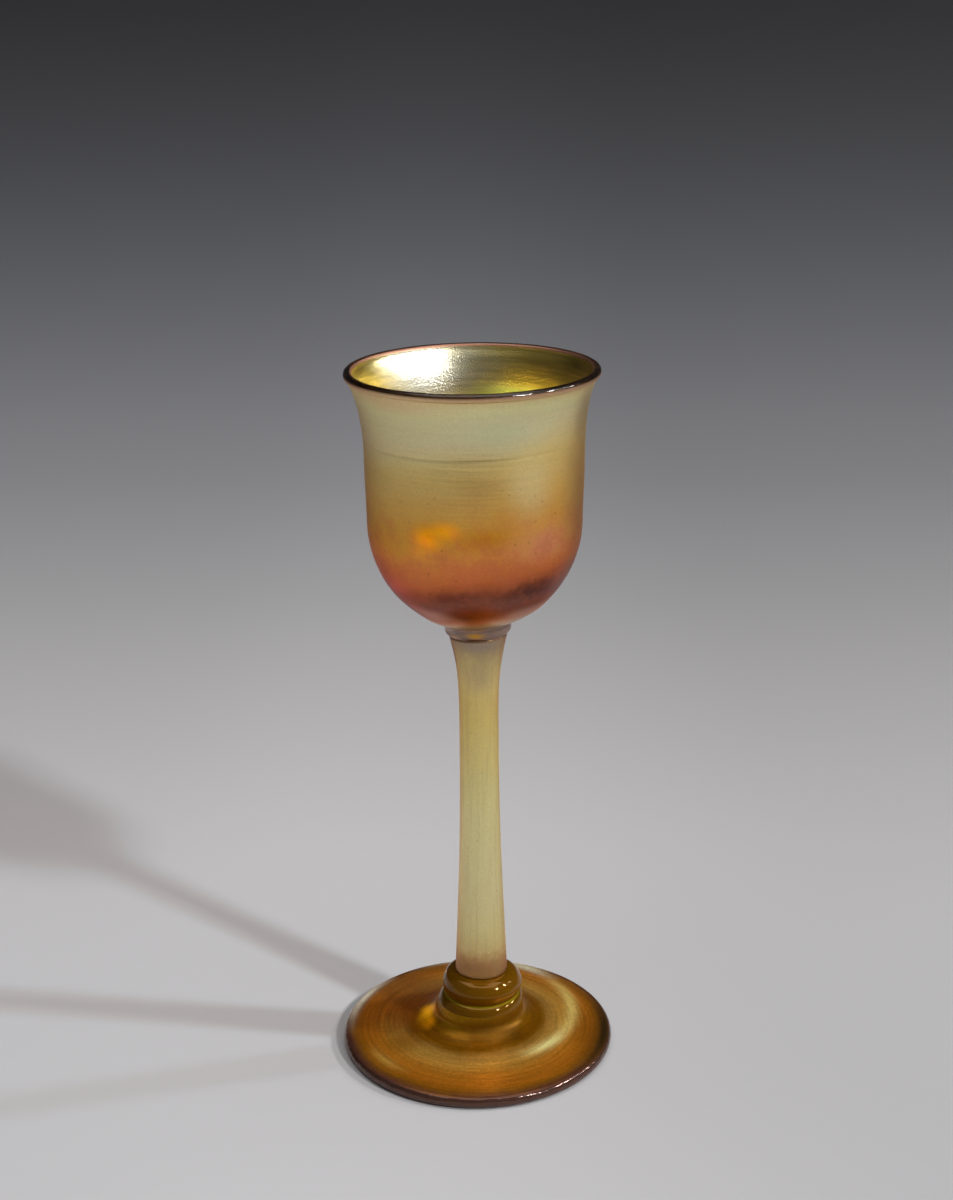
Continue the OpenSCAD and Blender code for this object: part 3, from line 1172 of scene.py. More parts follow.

# %% [markdown]
# ## Patches and light in the bowl
# The bands alone would look the same all round. On the real bowl there is an orange spot where light
# comes through the glass, a rosy right side, dark plum patches low down and a pale stretch under the
# lip. Each is a soft patch with its own colour, laid over the bands. The orange spot is painted light,
# the dark plum patches paint the foot's reflection, and other patches paint a soft highlight of the
# windows, the sheen of the lustre along the edges, the floor seen in and through the base, and the
# view through the clear bottom. Where light gathers behind the film, a very weak emission stands in
# for it. Traced light could make such spots too, but they would be noisy and would not survive the
# export.

# %% Bowl patches
BOWL_COLOUR_AND_LIGHT_PATCHES = [
    # middle, size, strength, colour
    # painted light: the next two are the orange spot where light comes through the glass
    ((-8.0, -17.5, 104.4), (4.2, 6.0, 3.4), 1.0, (1.0, 0.42, 0.0)),
    ((-5.2, -18.5, 105.6), (4.4, 6.0, 2.8), 0.9, (1.0, 0.46, 0.0)),
    ((2.5, -19.0, 104.4), (9.0, 6.0, 2.8), 0.75, (0.84, 0.30, 0.01)),
    ((-13.0, -17.0, 127.0), (18.0, 12.0, 2.8), 0.9, (1.0, 0.76, 0.40)),
    ((5.0, -21.0, 122.0), (15.0, 10.0, 4.5), 0.5, (0.80, 0.88, 0.56)),
    # painted highlight: the windows' soft sheen on the right of the bowl
    ((9.0, -16.0, 113.0), (6.0, 9.0, 9.0), 0.5, (1.0, 0.86, 0.46)),
    ((0.5, -19.0, 113.0), (6.0, 6.0, 5.0), 0.45, (0.72, 0.42, 0.12)),
    ((12.0, -15.0, 103.0), (12.0, 9.0, 5.5), 0.8, (0.95, 0.38, 0.19)),
    # painted sheen: red of the lustre at grazing angles on the lower left edge
    ((-15.0, -10.0, 93.0), (8.0, 10.0, 6.0), 0.7, (0.95, 0.20, 0.13)),
    # painted reflection: the next three darken the plum band where the foot is mirrored
    ((9.0, -13.0, 94.0), (8.5, 9.0, 3.0), 0.8, (0.11, 0.040, 0.032)),
    ((-4.0, -15.0, 93.3), (6.0, 9.0, 1.8), 0.5, (0.22, 0.045, 0.03)),
    ((8.0, -11.5, 90.6), (7.0, 8.0, 2.0), 0.7, (0.20, 0.065, 0.04)),
    # painted sheen: the next three give the lustre's mauve grey at grazing angles on the right edge
    ((15.0, -6.0, 94.0), (5.0, 10.0, 7.0), 0.75, (0.48, 0.27, 0.21)),
    ((18.5, -7.0, 108.0), (6.0, 14.0, 20.0), 0.8, (0.66, 0.43, 0.16)),
    ((19.8, -6.5, 123.5), (4.6, 14.0, 9.0), 0.8, (0.58, 0.48, 0.26)),
    # painted light: the next two are the floor seen in and through the base
    ((-7.0, -9.0, 88.6), (5.0, 8.0, 2.6), 0.8, (0.92, 0.52, 0.38)),
    ((8.0, -9.0, 88.8), (5.0, 8.0, 2.6), 0.6, (0.62, 0.42, 0.36)),
    # painted view through the clear base: an amber spot, then its golden glint
    ((0.2, -10.5, 90.0), (5.4, 6.0, 1.8), 1.0, (0.64, 0.20, 0.0)),
    ((0.4, -7.0, 86.6), (2.8, 5.0, 2.6), 0.8, (0.70, 0.50, 0.10)),
]
BOWL_GLOW = [
    # middle, size, colour
    ((-8.2, -17.5, 103.8), (4.6, 6.0, 3.4), (0.31, 0.072, 0.0)),
    ((-5.0, -18.5, 105.6), (4.6, 6.0, 2.8), (0.23, 0.068, 0.0)),
    ((-9.5, -16.5, 101.6), (3.4, 5.0, 2.6), (0.10, 0.028, 0.0)),
    ((-13.5, -9.0, 93.4), (3.0, 6.0, 3.0), (0.06, 0.012, 0.010)),
    ((-9.8, -8.5, 90.0), (3.0, 6.0, 1.6), (0.10, 0.022, 0.016)),
    ((0.0, -7.0, 86.4), (10.0, 8.0, 2.2), (0.034, 0.026, 0.016)),
    ((0.2, -10.5, 89.8), (4.6, 6.0, 1.4), (0.036, 0.012, 0.0)),
]
print("bowl patches", len(BOWL_COLOUR_AND_LIGHT_PATCHES), "and spots of light", len(BOWL_GLOW))

# %% Clouds, streaks and the tool mark
# The ranges below are read as: value from and to, strength from and to.
CLOUDS_AT = ((0.0, 0.0, 100.0), (40.0, 40.0, 16.0))
ROSY = (0.80, 0.21, 0.09)
ROSY_RANGE = (0.45, 0.62, 0.0, 0.75)
GOLDEN = (0.92, 0.54, 0.06)
GOLDEN_RANGE = (0.50, 0.35, 0.0, 1.0)
GOLDEN_ABOVE = (0.30, 0.40, 0.0, 0.45)
STREAKS_AT = ((0.0, -19.0, 114.0), (10.5, 10.0, 8.5))
STREAK = (0.40, 0.22, 0.05)
STREAK_RANGE = (0.40, 0.65, 0.0, 1.0)
STREAK_DEPTHS = (0.26, 0.05)
MARK_Z = 118.3
MARK_WIDTH = 0.16
MARK_AT = ((0.8, -19.0, MARK_Z), (9.5, 6.0, 10.0))
# painted shade in the tool mark's groove, and its strength below
MARK_PAINTED_SHADE = (0.30, 0.17, 0.04)
MARK_SHADE_STRENGTH = 0.6


def clouded(tree, colour, share):
    """Rosy and golden clouds over the middle of the bowl. The golden ones stay in its upper part."""
    blotch = use(tree, mottle, Patches=260.0, Grain=1100.0, Grain_Share=0.35)
    middle = spot(tree, *CLOUDS_AT)
    rosy = sums(tree, "MULTIPLY", middle, stretched(tree, blotch, *ROSY_RANGE))
    golden = sums(tree, "MULTIPLY", middle, stretched(tree, blotch, *GOLDEN_RANGE))
    golden = sums(tree, "MULTIPLY", stretched(tree, share, *GOLDEN_ABOVE), golden)
    return tinted(tree, tinted(tree, colour, rosy, ROSY), golden, GOLDEN)


def streaked(tree, colour):
    """Fine spun streaks, strongest on the front of the bowl."""
    lines = use(tree, spun_lines, Lines_Up=2300.0, Swirl=1.6, Detail=4.0)
    depth = sums(tree, "MULTIPLY_ADD", spot(tree, *STREAKS_AT), *STREAK_DEPTHS)
    streak = sums(tree, "MULTIPLY", stretched(tree, lines, *STREAK_RANGE), depth)
    return tinted(tree, colour, streak, STREAK)


def tool_mark_with_shade(tree, colour):
    """A short fine groove that the tool left on the front of the bowl, with painted shade along it."""
    line = bell(tree, ruled_height(tree), MARK_Z * MM, MARK_WIDTH * MM)
    mark = sums(tree, "MULTIPLY", line, spot(tree, *MARK_AT))
    return tinted(tree, colour, sums(tree, "MULTIPLY", mark, MARK_SHADE_STRENGTH), MARK_PAINTED_SHADE)


print("tool mark at", MARK_Z, "mm")

# %% Bowl outside
FILM_METALLIC = 0.82
SPECK = (0.12, 0.045, 0.008)
SPECKS_BELOW = (0.2, 0.75, 0.9, 0.1)
BOWL_ROUGH = (0.1, 0.6, 0.285, 0.42)
BOWL_GRAIN = (0.35, 0.65, 0.89, 1.00)
BOWL_SHEEN = (0.68, 0.46, 0.48, 1)


def bowl_film():
    material, tree, output = new_material("bowl_lustre_outside")
    share = bowl_share(tree)
    colour = colour_ramp(tree, share, BOWL_GRADE, BOWL_LOW, BOWL_HIGH, "CARDINAL")
    colour = clouded(tree, patched(tree, colour, BOWL_COLOUR_AND_LIGHT_PATCHES), share)
    colour = tool_mark_with_shade(tree, streaked(tree, colour))
    dots = use(tree, specks, Spread=900.0, Size=0.25, Kept=0.15)
    dots = sums(tree, "MULTIPLY", dots, stretched(tree, share, *SPECKS_BELOW))
    colour = tinted(tree, colour, dots, SPECK)
    fine = use(tree, mottle, Patches=2600.0, Grain=6000.0, Grain_Share=0.4)
    colour = scaled(tree, colour, stretched(tree, fine, *BOWL_GRAIN))
    shade_with(tree, output, {
        "Base Color": colour, "Roughness": stretched(tree, share, *BOWL_ROUGH), "IOR": GLASS_IOR,
        "Metallic": FILM_METALLIC, "Transmission Weight": 1.0, "Specular Tint": BOWL_SHEEN,
        "Normal": bumped(tree, fine, 0.15, 0.05), "Emission Color": glow(tree, BOWL_GLOW),
        "Emission Strength": 1.0})
    return material


bowl_outside_material = bowl_film()
print("bowl outside nodes", len(bowl_outside_material.node_tree.nodes))

# %% [markdown]
# ## Inside of the bowl
# Inside, the film is thick and bright, so it is plain metal, a greenish gold that is as rough as
# orange peel. The windows fill its left side with light, and a yellow light thrown back by the front
# wall lies at the bottom of what the mouth shows. Patches of painted reflection help both: they whiten
# the highlight, paint the yellow light, lighten the far right and darken the right rear and the gold
# under the highlight. The relief comes from small smooth cells under fine spun lines, both as bump,
# because they are far finer than the mesh.

# %% Bowl inside
GOLD = (0.86, 0.70, 0.20)
GOLD_DEEP = (0.62, 0.46, 0.09)
GOLD_LIP = (0.42, 0.21, 0.14)
GOLD_SHEEN = (0.9, 0.85, 0.6, 1)
GOLD_LINES = (0.35, 0.65, 1.10, 0.78)
GOLD_ROUGH = (0.0, 1.0, 0.28, 0.31)
LIP_FROM = 129.3
LIP_FULL = 129.6
LIP_ROUGHER = 0.25
PEBBLES = 4800.0
GOLD_PAINTED_REFLECTIONS = [
    # middle, size, strength, colour
    # painted highlight: the windows' reflection made whiter on the left
    ((-9.0, 17.0, 124.0), (19.0, 14.0, 15.0), 1.0, (0.97, 0.95, 0.80)),
    # painted light: a lighter patch at the far right
    ((20.0, 4.0, 126.0), (6.0, 9.0, 6.0), 0.7, (1.0, 0.82, 0.45)),
    # painted reflection: the darker rear right
    ((13.0, 14.0, 126.5), (13.0, 16.0, 5.0), 0.8, (0.42, 0.28, 0.06)),
    # painted reflection: yellow light thrown back by the front wall
    ((6.5, 17.0, 121.0), (13.0, 9.0, 3.0), 0.9, (0.80, 1.0, 0.50)),
    # painted reflection: darker under the highlight
    ((-10.0, 15.0, 120.2), (7.5, 9.0, 2.6), 0.7, (0.56, 0.44, 0.15)),
]


def bowl_mirror():
    material, tree, output = new_material("bowl_lustre_inside")
    cloud = use(tree, mottle, Patches=160.0, Grain=1800.0, Grain_Share=0.4)
    colour = patched(tree, tinted(tree, (*GOLD, 1), cloud, GOLD_DEEP), GOLD_PAINTED_REFLECTIONS)
    lip = stretched(tree, ruled_height(tree), LIP_FROM * MM, LIP_FULL * MM)
    colour = tinted(tree, colour, lip, GOLD_LIP)
    lines = use(tree, spun_lines, Lines_Up=1500.0, Swirl=1.5, Detail=3.0)
    colour = scaled(tree, colour, stretched(tree, lines, *GOLD_LINES))
    cells = put(tree, "ShaderNodeTexVoronoi", {
        "Vector": object_place(tree), "Scale": PEBBLES, "Smoothness": 1.0}, feature="SMOOTH_F1").outputs[0]
    relief = bumped(tree, lines, 0.5, 0.03, bumped(tree, cells, 1.0, 0.045))
    rough = sums(tree, "MULTIPLY_ADD", lip, LIP_ROUGHER, stretched(tree, cloud, *GOLD_ROUGH))
    shade_with(tree, output, {
        "Base Color": colour, "Roughness": rough, "Metallic": 1.0, "IOR": GLASS_IOR,
        "Specular Tint": GOLD_SHEEN, "Normal": relief})
    return material


bowl_inside_material = bowl_mirror()
print("bowl inside nodes", len(bowl_inside_material.node_tree.nodes))

# %% [markdown]
# ## Clear amber glass
# The rolled lip, the wafer, the knop, the boss's shoulder and the edge of the foot have no film. They
# are clear, fire-polished amber glass. One recipe makes them all, with its own colour, gloss and
# patches each time. Light that is gathered in the depth of the glass would need many bounces, so a
# small metallic share and a few patches stand in for it. Light also gathers in the crease under the
# knop, which shows as a bright line.

# %% Recipe for amber glass
CREASE_HALF_WIDTH = 0.24
CREASE_COLOUR = (0.85, 0.70, 0.03)
CREASE_STRENGTH = 0.8
CLOUD_STRENGTH = 0.3
CLOUD_DARKNESS = 0.5
PLAIN_SHEEN = (1.0, 1.0, 1.0)
WAVE_DEPTH = 0.5


def crease_lit(tree, colour):
    """The bright line in the crease where the knop is fused to the foot."""
    off = sums(tree, "ABSOLUTE", sums(tree, "SUBTRACT", ruled_height(tree), knop_z * MM))
    near = stretched(tree, off, CREASE_HALF_WIDTH * MM, 0.0, 0.0, CREASE_STRENGTH)
    return tinted(tree, colour, near, CREASE_COLOUR)


def amber_glass(name, colour, roughness, metallic=0.0, transmission=1.0, patches=(), sheen=PLAIN_SHEEN,
                depth=WAVE_DEPTH):
    """Clear amber glass with soft clouds of a deeper tone, and waves of the given depth in millimetres."""
    material, tree, output = new_material(name)
    cloud = use(tree, mottle, Patches=120.0, Grain=900.0, Grain_Share=0.3)
    deeper = tuple(value * CLOUD_DARKNESS for value in colour)
    body = tinted(tree, (*colour, 1), sums(tree, "MULTIPLY", cloud, CLOUD_STRENGTH), deeper)
    waves = use(tree, mottle, Patches=260.0, Grain=700.0, Grain_Share=0.2)
    shade_with(tree, output, {
        "Base Color": crease_lit(tree, patched(tree, body, patches)), "Roughness": roughness,
        "Metallic": metallic, "IOR": GLASS_IOR, "Normal": bumped(tree, waves, 1.0, depth),
        "Transmission Weight": transmission, "Specular Tint": (*sheen, 1)})
    return material


print("crease at", round(knop_z, 2), "mm")

# %% Lip, wafer, knop and edge of the foot
WAFER_COLOUR_AND_LIGHT_PATCHES = [
    # middle, size, strength, colour
    ((-5.0, -3.0, 83.3), (2.4, 4.0, 0.9), 0.8, (0.95, 0.78, 0.64)),
    # painted glint: amber gold light seen in the wafer's middle
    ((0.0, -5.6, 83.0), (2.6, 3.0, 1.0), 1.0, (1.0, 0.46, 0.01)),
    ((-0.4, -5.2, 82.1), (3.2, 2.5, 0.5), 0.9, (0.13, 0.036, 0.008)),
    # painted glint: a copper glint low on the left
    ((-3.6, -3.8, 82.3), (1.8, 1.8, 0.6), 1.0, (1.0, 0.55, 0.34)),
]
EDGE_PAINTED_LIGHT = [
    # middle, size, strength, colour
    # painted light: a cream glint along the left of the edge, and pale light in the back of the rim
    ((-24.0, 9.0, 2.0), (7.0, 17.0, 6.0), 1.0, (1.0, 0.84, 0.62)),
    ((4.0, 27.0, 2.0), (30.0, 12.0, 6.0), 0.9, (0.95, 0.72, 0.44)),
]
lip_material = amber_glass("lip_glass", (0.38, 0.17, 0.12), 0.18, depth=0.25)
wafer_material = amber_glass(
    "wafer_glass", (0.46, 0.31, 0.25), 0.10, 0.3, 0.75, WAFER_COLOUR_AND_LIGHT_PATCHES, (0.75, 0.52, 0.46))
knop_material = amber_glass(
    "knop_amber", (0.29, 0.12, 0.0), 0.09, 0.1, 0.6, sheen=(1.0, 0.66, 0.40), depth=0.12)
foot_glass_material = amber_glass("foot_glass", (0.17, 0.07, 0.045), 0.16, 0.25, 0.7, EDGE_PAINTED_LIGHT)
print("clear glasses", [m.name for m in (lip_material, wafer_material, knop_material, foot_glass_material)])

# %% [markdown]
# ## Fused seams
# Where two pieces were joined hot, the glass is one and there is no surface to see. The pieces here
# stay separate and meet on flat seats, so the seats get a material that lets everything through.

# %% Fused seam
def fused_seam():
    material, tree, output = new_material("fused_seam")
    shade_with(tree, output, {"Base Color": (0.8, 0.5, 0.1, 1), "Alpha": 0.0})
    return material


seam_material = fused_seam()
print("seam material", seam_material.name)

# %% [markdown]
# ## Stem finish
# The stem is drawn from a hot gather, so its film has fine streaks along it and looks like satin. It
# is pale gold, rosier at its bottom end and cooler where it opens under the wafer. A weak glow down
# its left side stands for light that runs inside the solid rod.

# %% Stem colours
STEM_GRADE = [
    # height in millimetres, and the colour of the film there
    (14.5, (0.54, 0.30, 0.14)),
    (18.0, (0.70, 0.43, 0.18)),
    (20.5, (1.00, 0.82, 0.36)),
    (30.0, (1.00, 0.90, 0.48)),
    (50.0, (1.00, 0.90, 0.44)),
    (66.0, (0.98, 0.78, 0.28)),
    (74.0, (0.96, 0.77, 0.33)),
    (78.5, (0.73, 0.57, 0.28)),
    (82.0, (0.52, 0.36, 0.26)),
]
STEM_PATCHES = [
    # middle, size, strength, colour
    ((-4.7, -0.8, 80.6), (1.1, 1.9, 2.2), 1.0, (0.20, 0.06, 0.09)),
    ((-4.1, -0.8, 78.6), (1.0, 1.7, 2.4), 1.0, (0.20, 0.06, 0.09)),
    ((-3.7, -0.8, 76.8), (0.8, 1.5, 2.2), 1.0, (0.24, 0.08, 0.10)),
    ((0.5, -5.0, 80.6), (6.0, 6.0, 1.8), 0.6, (0.46, 0.38, 0.36)),
    ((0.5, -4.0, 74.0), (4.0, 5.0, 4.0), 0.5, (0.62, 0.46, 0.30)),
]
STEM_GLOW = [
    # middle, size, colour
    ((-3.8, -2.2, 44.0), (3.4, 5.0, 46.0), (0.085, 0.066, 0.044)),
]
STEM_DRIFT = 7.0
TOP_LINE = (0.16, 0.06, 0.04)
TOP_LINE_FROM = 81.3
TOP_LINE_FULL = 81.65
TOP_LINE_STRENGTH = 0.85
STEM_STREAK = (0.62, 0.48, 0.20)
STEM_STREAK_RANGE = (0.45, 0.70, 0.0, 0.30)
STEM_SPECK = (0.30, 0.22, 0.10)
STEM_SPECK_STRENGTH = 0.5
STEM_GRAIN = (0.35, 0.65, 0.92, 1.05)
STEM_SHEEN = (0.95, 0.40, 0.25, 1)
print("stem bands", len(STEM_GRADE))

# %% Stem film
STREAK_STRETCH = 0.04
STREAK_SCALE = 1600.0
STREAK_RELIEF = 0.7


def drawn_streaks(tree):
    """Fine streaks along the stem, from the way it was drawn."""
    long = put(tree, "ShaderNodeMapping", {
        "Vector": object_place(tree), "Scale": (1.0, 1.0, STREAK_STRETCH)}).outputs[0]
    return noise(tree, long, STREAK_SCALE, 3.0)


def stem_film():
    material, tree, output = new_material("stem_satin")
    cloud = use(tree, mottle, Patches=160.0, Grain=1100.0, Grain_Share=0.4)
    share = height_share(tree, stem_z, stem_z + stem_h, drift(tree, cloud, STEM_DRIFT))
    colour = colour_ramp(tree, share, STEM_GRADE, stem_z, stem_z + stem_h, "CARDINAL")
    colour = patched(tree, colour, STEM_PATCHES)
    top_line = stretched(tree, ruled_height(tree), TOP_LINE_FROM * MM, TOP_LINE_FULL * MM,
                         0.0, TOP_LINE_STRENGTH)
    colour = tinted(tree, colour, top_line, TOP_LINE)
    streaks = drawn_streaks(tree)
    colour = tinted(tree, colour, stretched(tree, streaks, *STEM_STREAK_RANGE), STEM_STREAK)
    dots = use(tree, specks, Spread=1100.0, Size=0.25, Kept=0.12)
    colour = tinted(tree, colour, sums(tree, "MULTIPLY", dots, STEM_SPECK_STRENGTH), STEM_SPECK)
    fine = use(tree, mottle, Patches=2600.0, Grain=7000.0, Grain_Share=0.4)
    colour = scaled(tree, colour, stretched(tree, fine, *STEM_GRAIN))
    height = sums(tree, "MULTIPLY_ADD", streaks, STREAK_RELIEF, fine)
    shade_with(tree, output, {
        "Base Color": colour, "Roughness": 0.38, "Metallic": 0.5, "IOR": GLASS_IOR,
        "Transmission Weight": 0.85, "Specular Tint": STEM_SHEEN, "Normal": bumped(tree, height, 0.3, 0.05),
        "Emission Color": glow(tree, STEM_GLOW), "Emission Strength": 1.0})
    return material


stem_material = stem_film()
print("stem nodes", len(stem_material.node_tree.nodes))

# %% [markdown]
# ## Foot finish
# The foot was spun open from a disc, so its lustre lies in faint rings. The ramp is read by the
# distance from the axis this time. Curved surfaces throw the windows back as thin crescents,
# brightest on the right. A glossy film would show them by itself, but a rough one smears them, so
# each crescent is a painted reflection: a soft stretch of a ring, with a place, a width and a colour.
# The same helper darkens a ring round the boss, a painted dimmer reflection that is also rougher,
# and the foot's right edge, where it paints the dark underside seen through the clear glass.

# %% Foot colours
FOOT_GRADE = [
    # millimetres from the axis, and the colour of the film there
    (6.7, (0.30, 0.15, 0.0)),
    (8.5, (0.27, 0.12, 0.0)),
    (11.0, (0.26, 0.095, 0.0)),
    (12.5, (0.30, 0.12, 0.005)),
    (14.0, (0.52, 0.26, 0.045)),
    (16.5, (0.64, 0.31, 0.045)),
    (18.5, (0.60, 0.23, 0.02)),
    (21.5, (0.54, 0.175, 0.01)),
    (23.4, (0.36, 0.13, 0.01)),
    (24.9, (0.14, 0.05, 0.03)),
]
FOOT_LOW = 6.0
FOOT_HIGH = 25.5
FOOT_COLOUR_AND_LIGHT_PATCHES = [
    # middle, size, strength, colour
    ((-14.0, 5.0, 4.0), (17.0, 16.0, 8.0), 1.0, (0.43, 0.11, 0.006)),
    ((-14.0, -8.0, 4.0), (5.5, 4.5, 6.0), 0.6, (0.36, 0.12, 0.0)),
    # painted reflection: the next two keep the lamps' reflection dim on the front of the boss's foot
    ((0.0, -9.6, 5.4), (7.0, 3.4, 4.0), 0.8, (0.19, 0.07, 0.0)),
    ((6.6, -7.6, 5.2), (4.5, 3.6, 4.0), 0.9, (0.16, 0.06, 0.0)),
    # painted light: orange light gathered through the knop, left of the boss
    ((-9.6, -0.5, 5.5), (3.0, 6.0, 6.0), 1.0, (1.0, 0.42, 0.0)),
    ((-16.0, 14.0, 3.0), (10.0, 9.0, 4.0), 0.6, (0.58, 0.22, 0.04)),
    ((21.0, -5.0, 3.0), (5.0, 15.0, 4.0), 0.8, (0.30, 0.10, 0.005)),
    # painted light and shade: the boss is lit on its left and darker on its right
    ((-6.5, -5.0, 8.4), (4.0, 5.0, 3.0), 0.9, (0.55, 0.24, 0.0)),
    ((5.5, -6.0, 8.0), (4.5, 5.0, 3.0), 0.9, (0.17, 0.065, 0.0)),
]
FOOT_GLOW = [
    # middle, size, colour
    ((-9.5, 0.6, 5.6), (2.3, 4.6, 6.0), (0.42, 0.18, 0.004)),
    ((-9.2, -3.4, 5.6), (2.0, 3.0, 6.0), (0.16, 0.05, 0.0)),
]
print("foot rings", len(FOOT_GRADE), "patches", len(FOOT_COLOUR_AND_LIGHT_PATCHES))

# %% Crescents and dark rings
GLINTS = [
    # middle of a ring, radius, width, middle and size of what shows, strength, colour, shine
    ((-1.2, 4.3), 19.6, 1.0, (12.5, -7.5, 4.0), (8.0, 10.0, 8.0), 1.0, (1.0, 0.88, 0.34), 0.16),
    ((-1.2, 4.3), 19.4, 1.3, (17.0, 6.0, 4.0), (9.0, 19.0, 8.0), 0.9, (1.0, 0.74, 0.20), 0.04),
    ((-1.2, 4.3), 20.3, 1.3, (9.0, 21.0, 3.0), (10.0, 9.0, 6.0), 0.9, (1.0, 0.92, 0.62), 0.05),
    ((0.0, 0.0), 24.5, 0.9, (-22.0, 11.0, 2.5), (8.0, 16.0, 8.0), 1.0, (1.0, 0.88, 0.66), 0.10),
    ((0.0, 0.0), 24.7, 0.9, (2.0, 26.0, 2.5), (26.0, 9.0, 8.0), 0.9, (0.95, 0.78, 0.48), 0.0),
    ((-1.0, 0.0), 20.8, 0.9, (-16.0, -12.0, 3.0), (7.0, 8.0, 8.0), 0.5, (0.95, 0.62, 0.12), 0.0),
]

# The two dark ones are given by the first five of these values, and their colours follow.
# painted reflection: a dimmer, rougher ring round the boss's foot
DULL_RING = ((0.3, 0.0), 8.6, 0.7, (2.5, -8.0, 5.8), (9.0, 7.0, 4.0))
DULL_COLOUR = (0.13, 0.05, 0.0)
DULL_STRENGTH = 0.8
DULL_ROUGHER = 0.4
# painted shade: the dark underside seen through the clear right edge
DARK_EDGE = ((0.0, 0.0), 24.1, 1.4, (24.0, -4.0, 2.5), (10.0, 24.0, 8.0))
DARK_EDGE_COLOUR = (0.044, 0.025, 0.006)


def crescent(tree, middle, reach, width, place, size):
    """A soft stretch of a ring round an upright line."""
    ring = bell(tree, length_of(tree, off_axis(tree, middle)), reach * MM, width * MM)
    return sums(tree, "MULTIPLY", ring, spot(tree, place, size))


def glinting(tree, colour, bright):
    """Lays the crescents over a colour and, more weakly, over its glow."""
    for middle, reach, width, place, size, strength, pale, shine in GLINTS:
        mask = crescent(tree, middle, reach, width, place, size)
        colour = tinted(tree, colour, sums(tree, "MULTIPLY", mask, strength), pale)
        bright = tinted(tree, bright, sums(tree, "MULTIPLY", mask, shine), pale)
    return colour, bright


print("crescents", len(GLINTS))

# %% Foot film
FOOT_DRIFT = 3.0
FOOT_LINES = (0.3, 0.7, 1.18, 0.76)
FOOT_GRAIN = (0.35, 0.65, 0.84, 1.18)
FOOT_ROUGHNESS = 0.285
FOOT_SHEEN = (0.95, 0.55, 0.22, 1)
GRAIN_RELIEF = 0.6


def foot_film():
    material, tree, output = new_material("foot_lustre")
    cloud = use(tree, mottle, Patches=90.0, Grain=700.0, Grain_Share=0.3)
    out = sums(tree, "ADD", length_of(tree, off_axis(tree)), drift(tree, cloud, FOOT_DRIFT))
    share = stretched(tree, out, FOOT_LOW * MM, FOOT_HIGH * MM)
    colour = colour_ramp(tree, share, FOOT_GRADE, FOOT_LOW, FOOT_HIGH, "CARDINAL")
    colour = patched(tree, colour, FOOT_COLOUR_AND_LIGHT_PATCHES)
    colour, bright = glinting(tree, colour, glow(tree, FOOT_GLOW))
    lines = use(tree, spun_lines, Lines_Up=0.0, Lines_Across=1500.0, Swirl=1.2, Detail=5.0)
    colour = scaled(tree, colour, stretched(tree, lines, *FOOT_LINES))
    grain = use(tree, mottle, Patches=1800.0, Grain=4500.0, Grain_Share=0.4)
    colour = crease_lit(tree, scaled(tree, colour, stretched(tree, grain, *FOOT_GRAIN)))
    dull = crescent(tree, *DULL_RING)
    colour = tinted(tree, colour, sums(tree, "MULTIPLY", dull, DULL_STRENGTH), DULL_COLOUR)
    colour = tinted(tree, colour, crescent(tree, *DARK_EDGE), DARK_EDGE_COLOUR)
    height = sums(tree, "MULTIPLY_ADD", grain, GRAIN_RELIEF, lines)
    shade_with(tree, output, {
        "Base Color": colour, "Roughness": sums(tree, "MULTIPLY_ADD", dull, DULL_ROUGHER, FOOT_ROUGHNESS),
        "Metallic": 0.35, "IOR": GLASS_IOR, "Transmission Weight": 0.35, "Specular Tint": FOOT_SHEEN,
        "Normal": bumped(tree, height, 0.5, 0.05), "Emission Color": bright, "Emission Strength": 1.0})
    return material


foot_film_material = foot_film()
print("foot film nodes", len(foot_film_material.node_tree.nodes))

# %% [markdown]
# ## Making the pieces
# Every outline now goes through the same tree with its own amounts. The bowl leans a little from its
# middle up and has the tool mark, the foot has the deepest rings, and the wafer and the knop are too
# small to show any. Each result is kept as a plain mesh with its materials, and the modifier is taken
# off again.

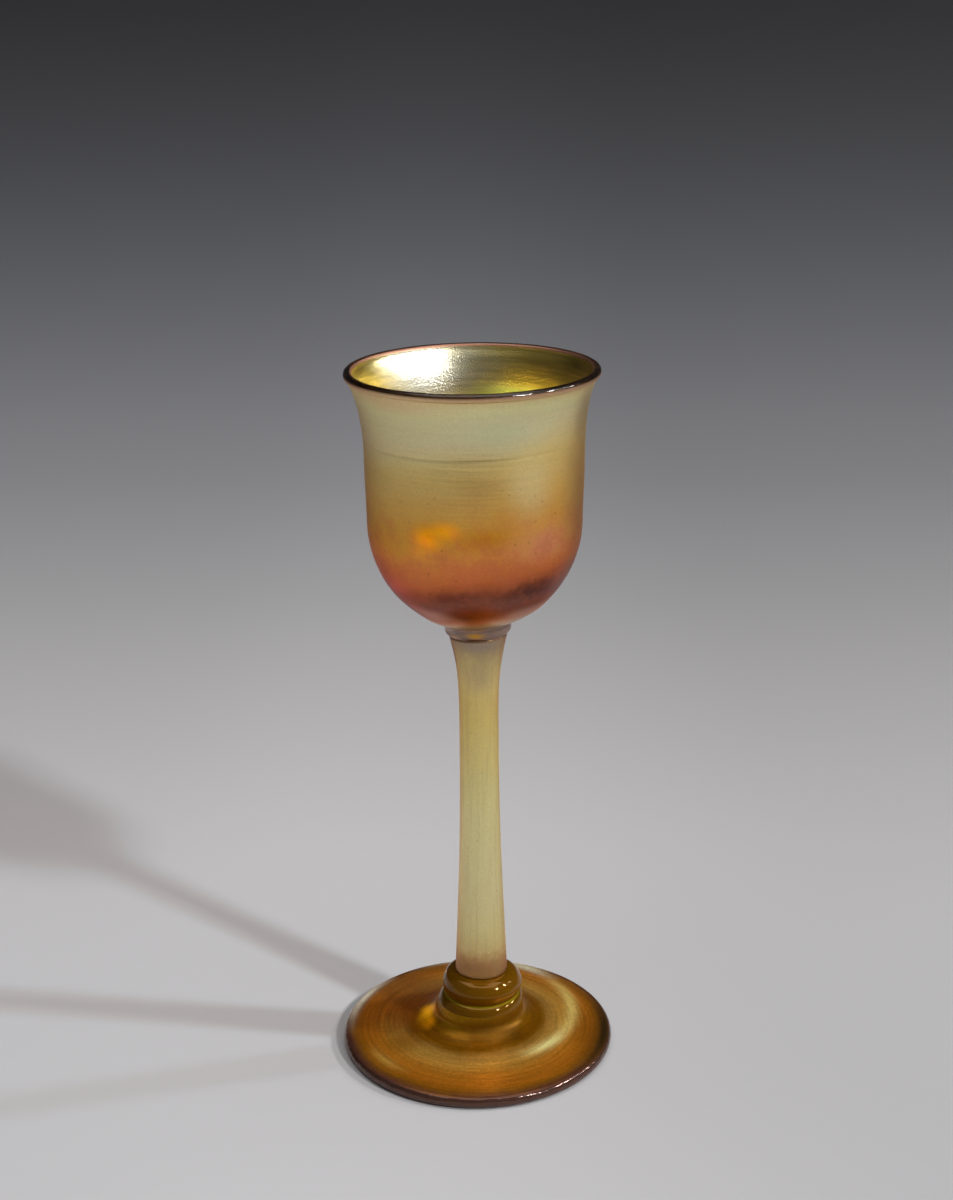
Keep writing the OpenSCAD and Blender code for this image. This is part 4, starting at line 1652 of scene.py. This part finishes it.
# %% Amounts for each piece
BOWL_AMOUNTS = {
    "Tilt Right": 0.010,
    "Tilt Back": 0.0125,
    "Tilt Drop": 0.4 * MM,
    "Tilt From": 96 * MM,
    "Tilt To": 129 * MM,
    "Out Of Round": 0.001,
    "Ring Depth": 0.03 * MM,
    "Ring Spacing": 2.2 * MM,
    "Ring Swirl": 0.8,
    "Mark Height": MARK_Z * MM,
    "Mark Depth": 0.09 * MM,
    "Mark Width": 0.3 * MM,
    "Seed": 3.0,
}
WAFER_AMOUNTS = {"Facets Round": 128}
STEM_AMOUNTS = {
    "Facets Round": 128,
    "Ring Depth": 0.03 * MM,
    "Ring Spacing": 5 * MM,
    "Out Of Round": 0.002,
    "Seed": 7.0,
}
KNOP_AMOUNTS = {"Facets Round": 144, "Out Of Round": 0.003, "Seed": 1.0}
FOOT_AMOUNTS = {"Facets Round": 224, "Ring Depth": 0.06 * MM, "Ring Spacing": 2.5 * MM, "Seed": 5.0}
print("bowl amounts", len(BOWL_AMOUNTS))

# %% Turn the five pieces
bowl = turn_piece("bowl_turned", bowl_runs, bowl_z, **BOWL_AMOUNTS, **{
    "Film": bowl_outside_material, "Glass": lip_material, "Mirror": bowl_inside_material,
    "Seam": seam_material})
wafer = turn_piece("wafer_turned", wafer_runs, wafer_z, **WAFER_AMOUNTS, **{
    "Film": wafer_material, "Seam": seam_material})
stem = turn_piece("stem_turned", stem_runs, stem_z, **STEM_AMOUNTS, **{
    "Film": stem_material, "Seam": seam_material})
knop = turn_piece("knop_turned", knop_runs, knop_z, **KNOP_AMOUNTS, **{
    "Glass": knop_material, "Seam": seam_material})
foot = turn_piece("foot_turned", foot_runs, foot_z, **FOOT_AMOUNTS, **{
    "Film": foot_film_material, "Glass": foot_glass_material, "Mirror": knop_material,
    "Seam": seam_material})

# %% [markdown]
# ## Handing the pieces over
# Each turned piece now takes the place of its measured solid. It rides on the glass's one body. The
# dressed glass has to stay in the same box.

# %% Hand the pieces over
PIECES = [
    (bowl, "bowl", "bowl_lustre"),
    (wafer, "wafer", "wafer_glass"),
    (stem, "stem", "stem_satin"),
    (knop, "knop", "knop_amber"),
    (foot, "foot", "foot_lustre"),
]
for piece, node, slot in PIECES:
    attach(piece, "root")
    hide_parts(node)
print("pieces handed over", len(PIECES))
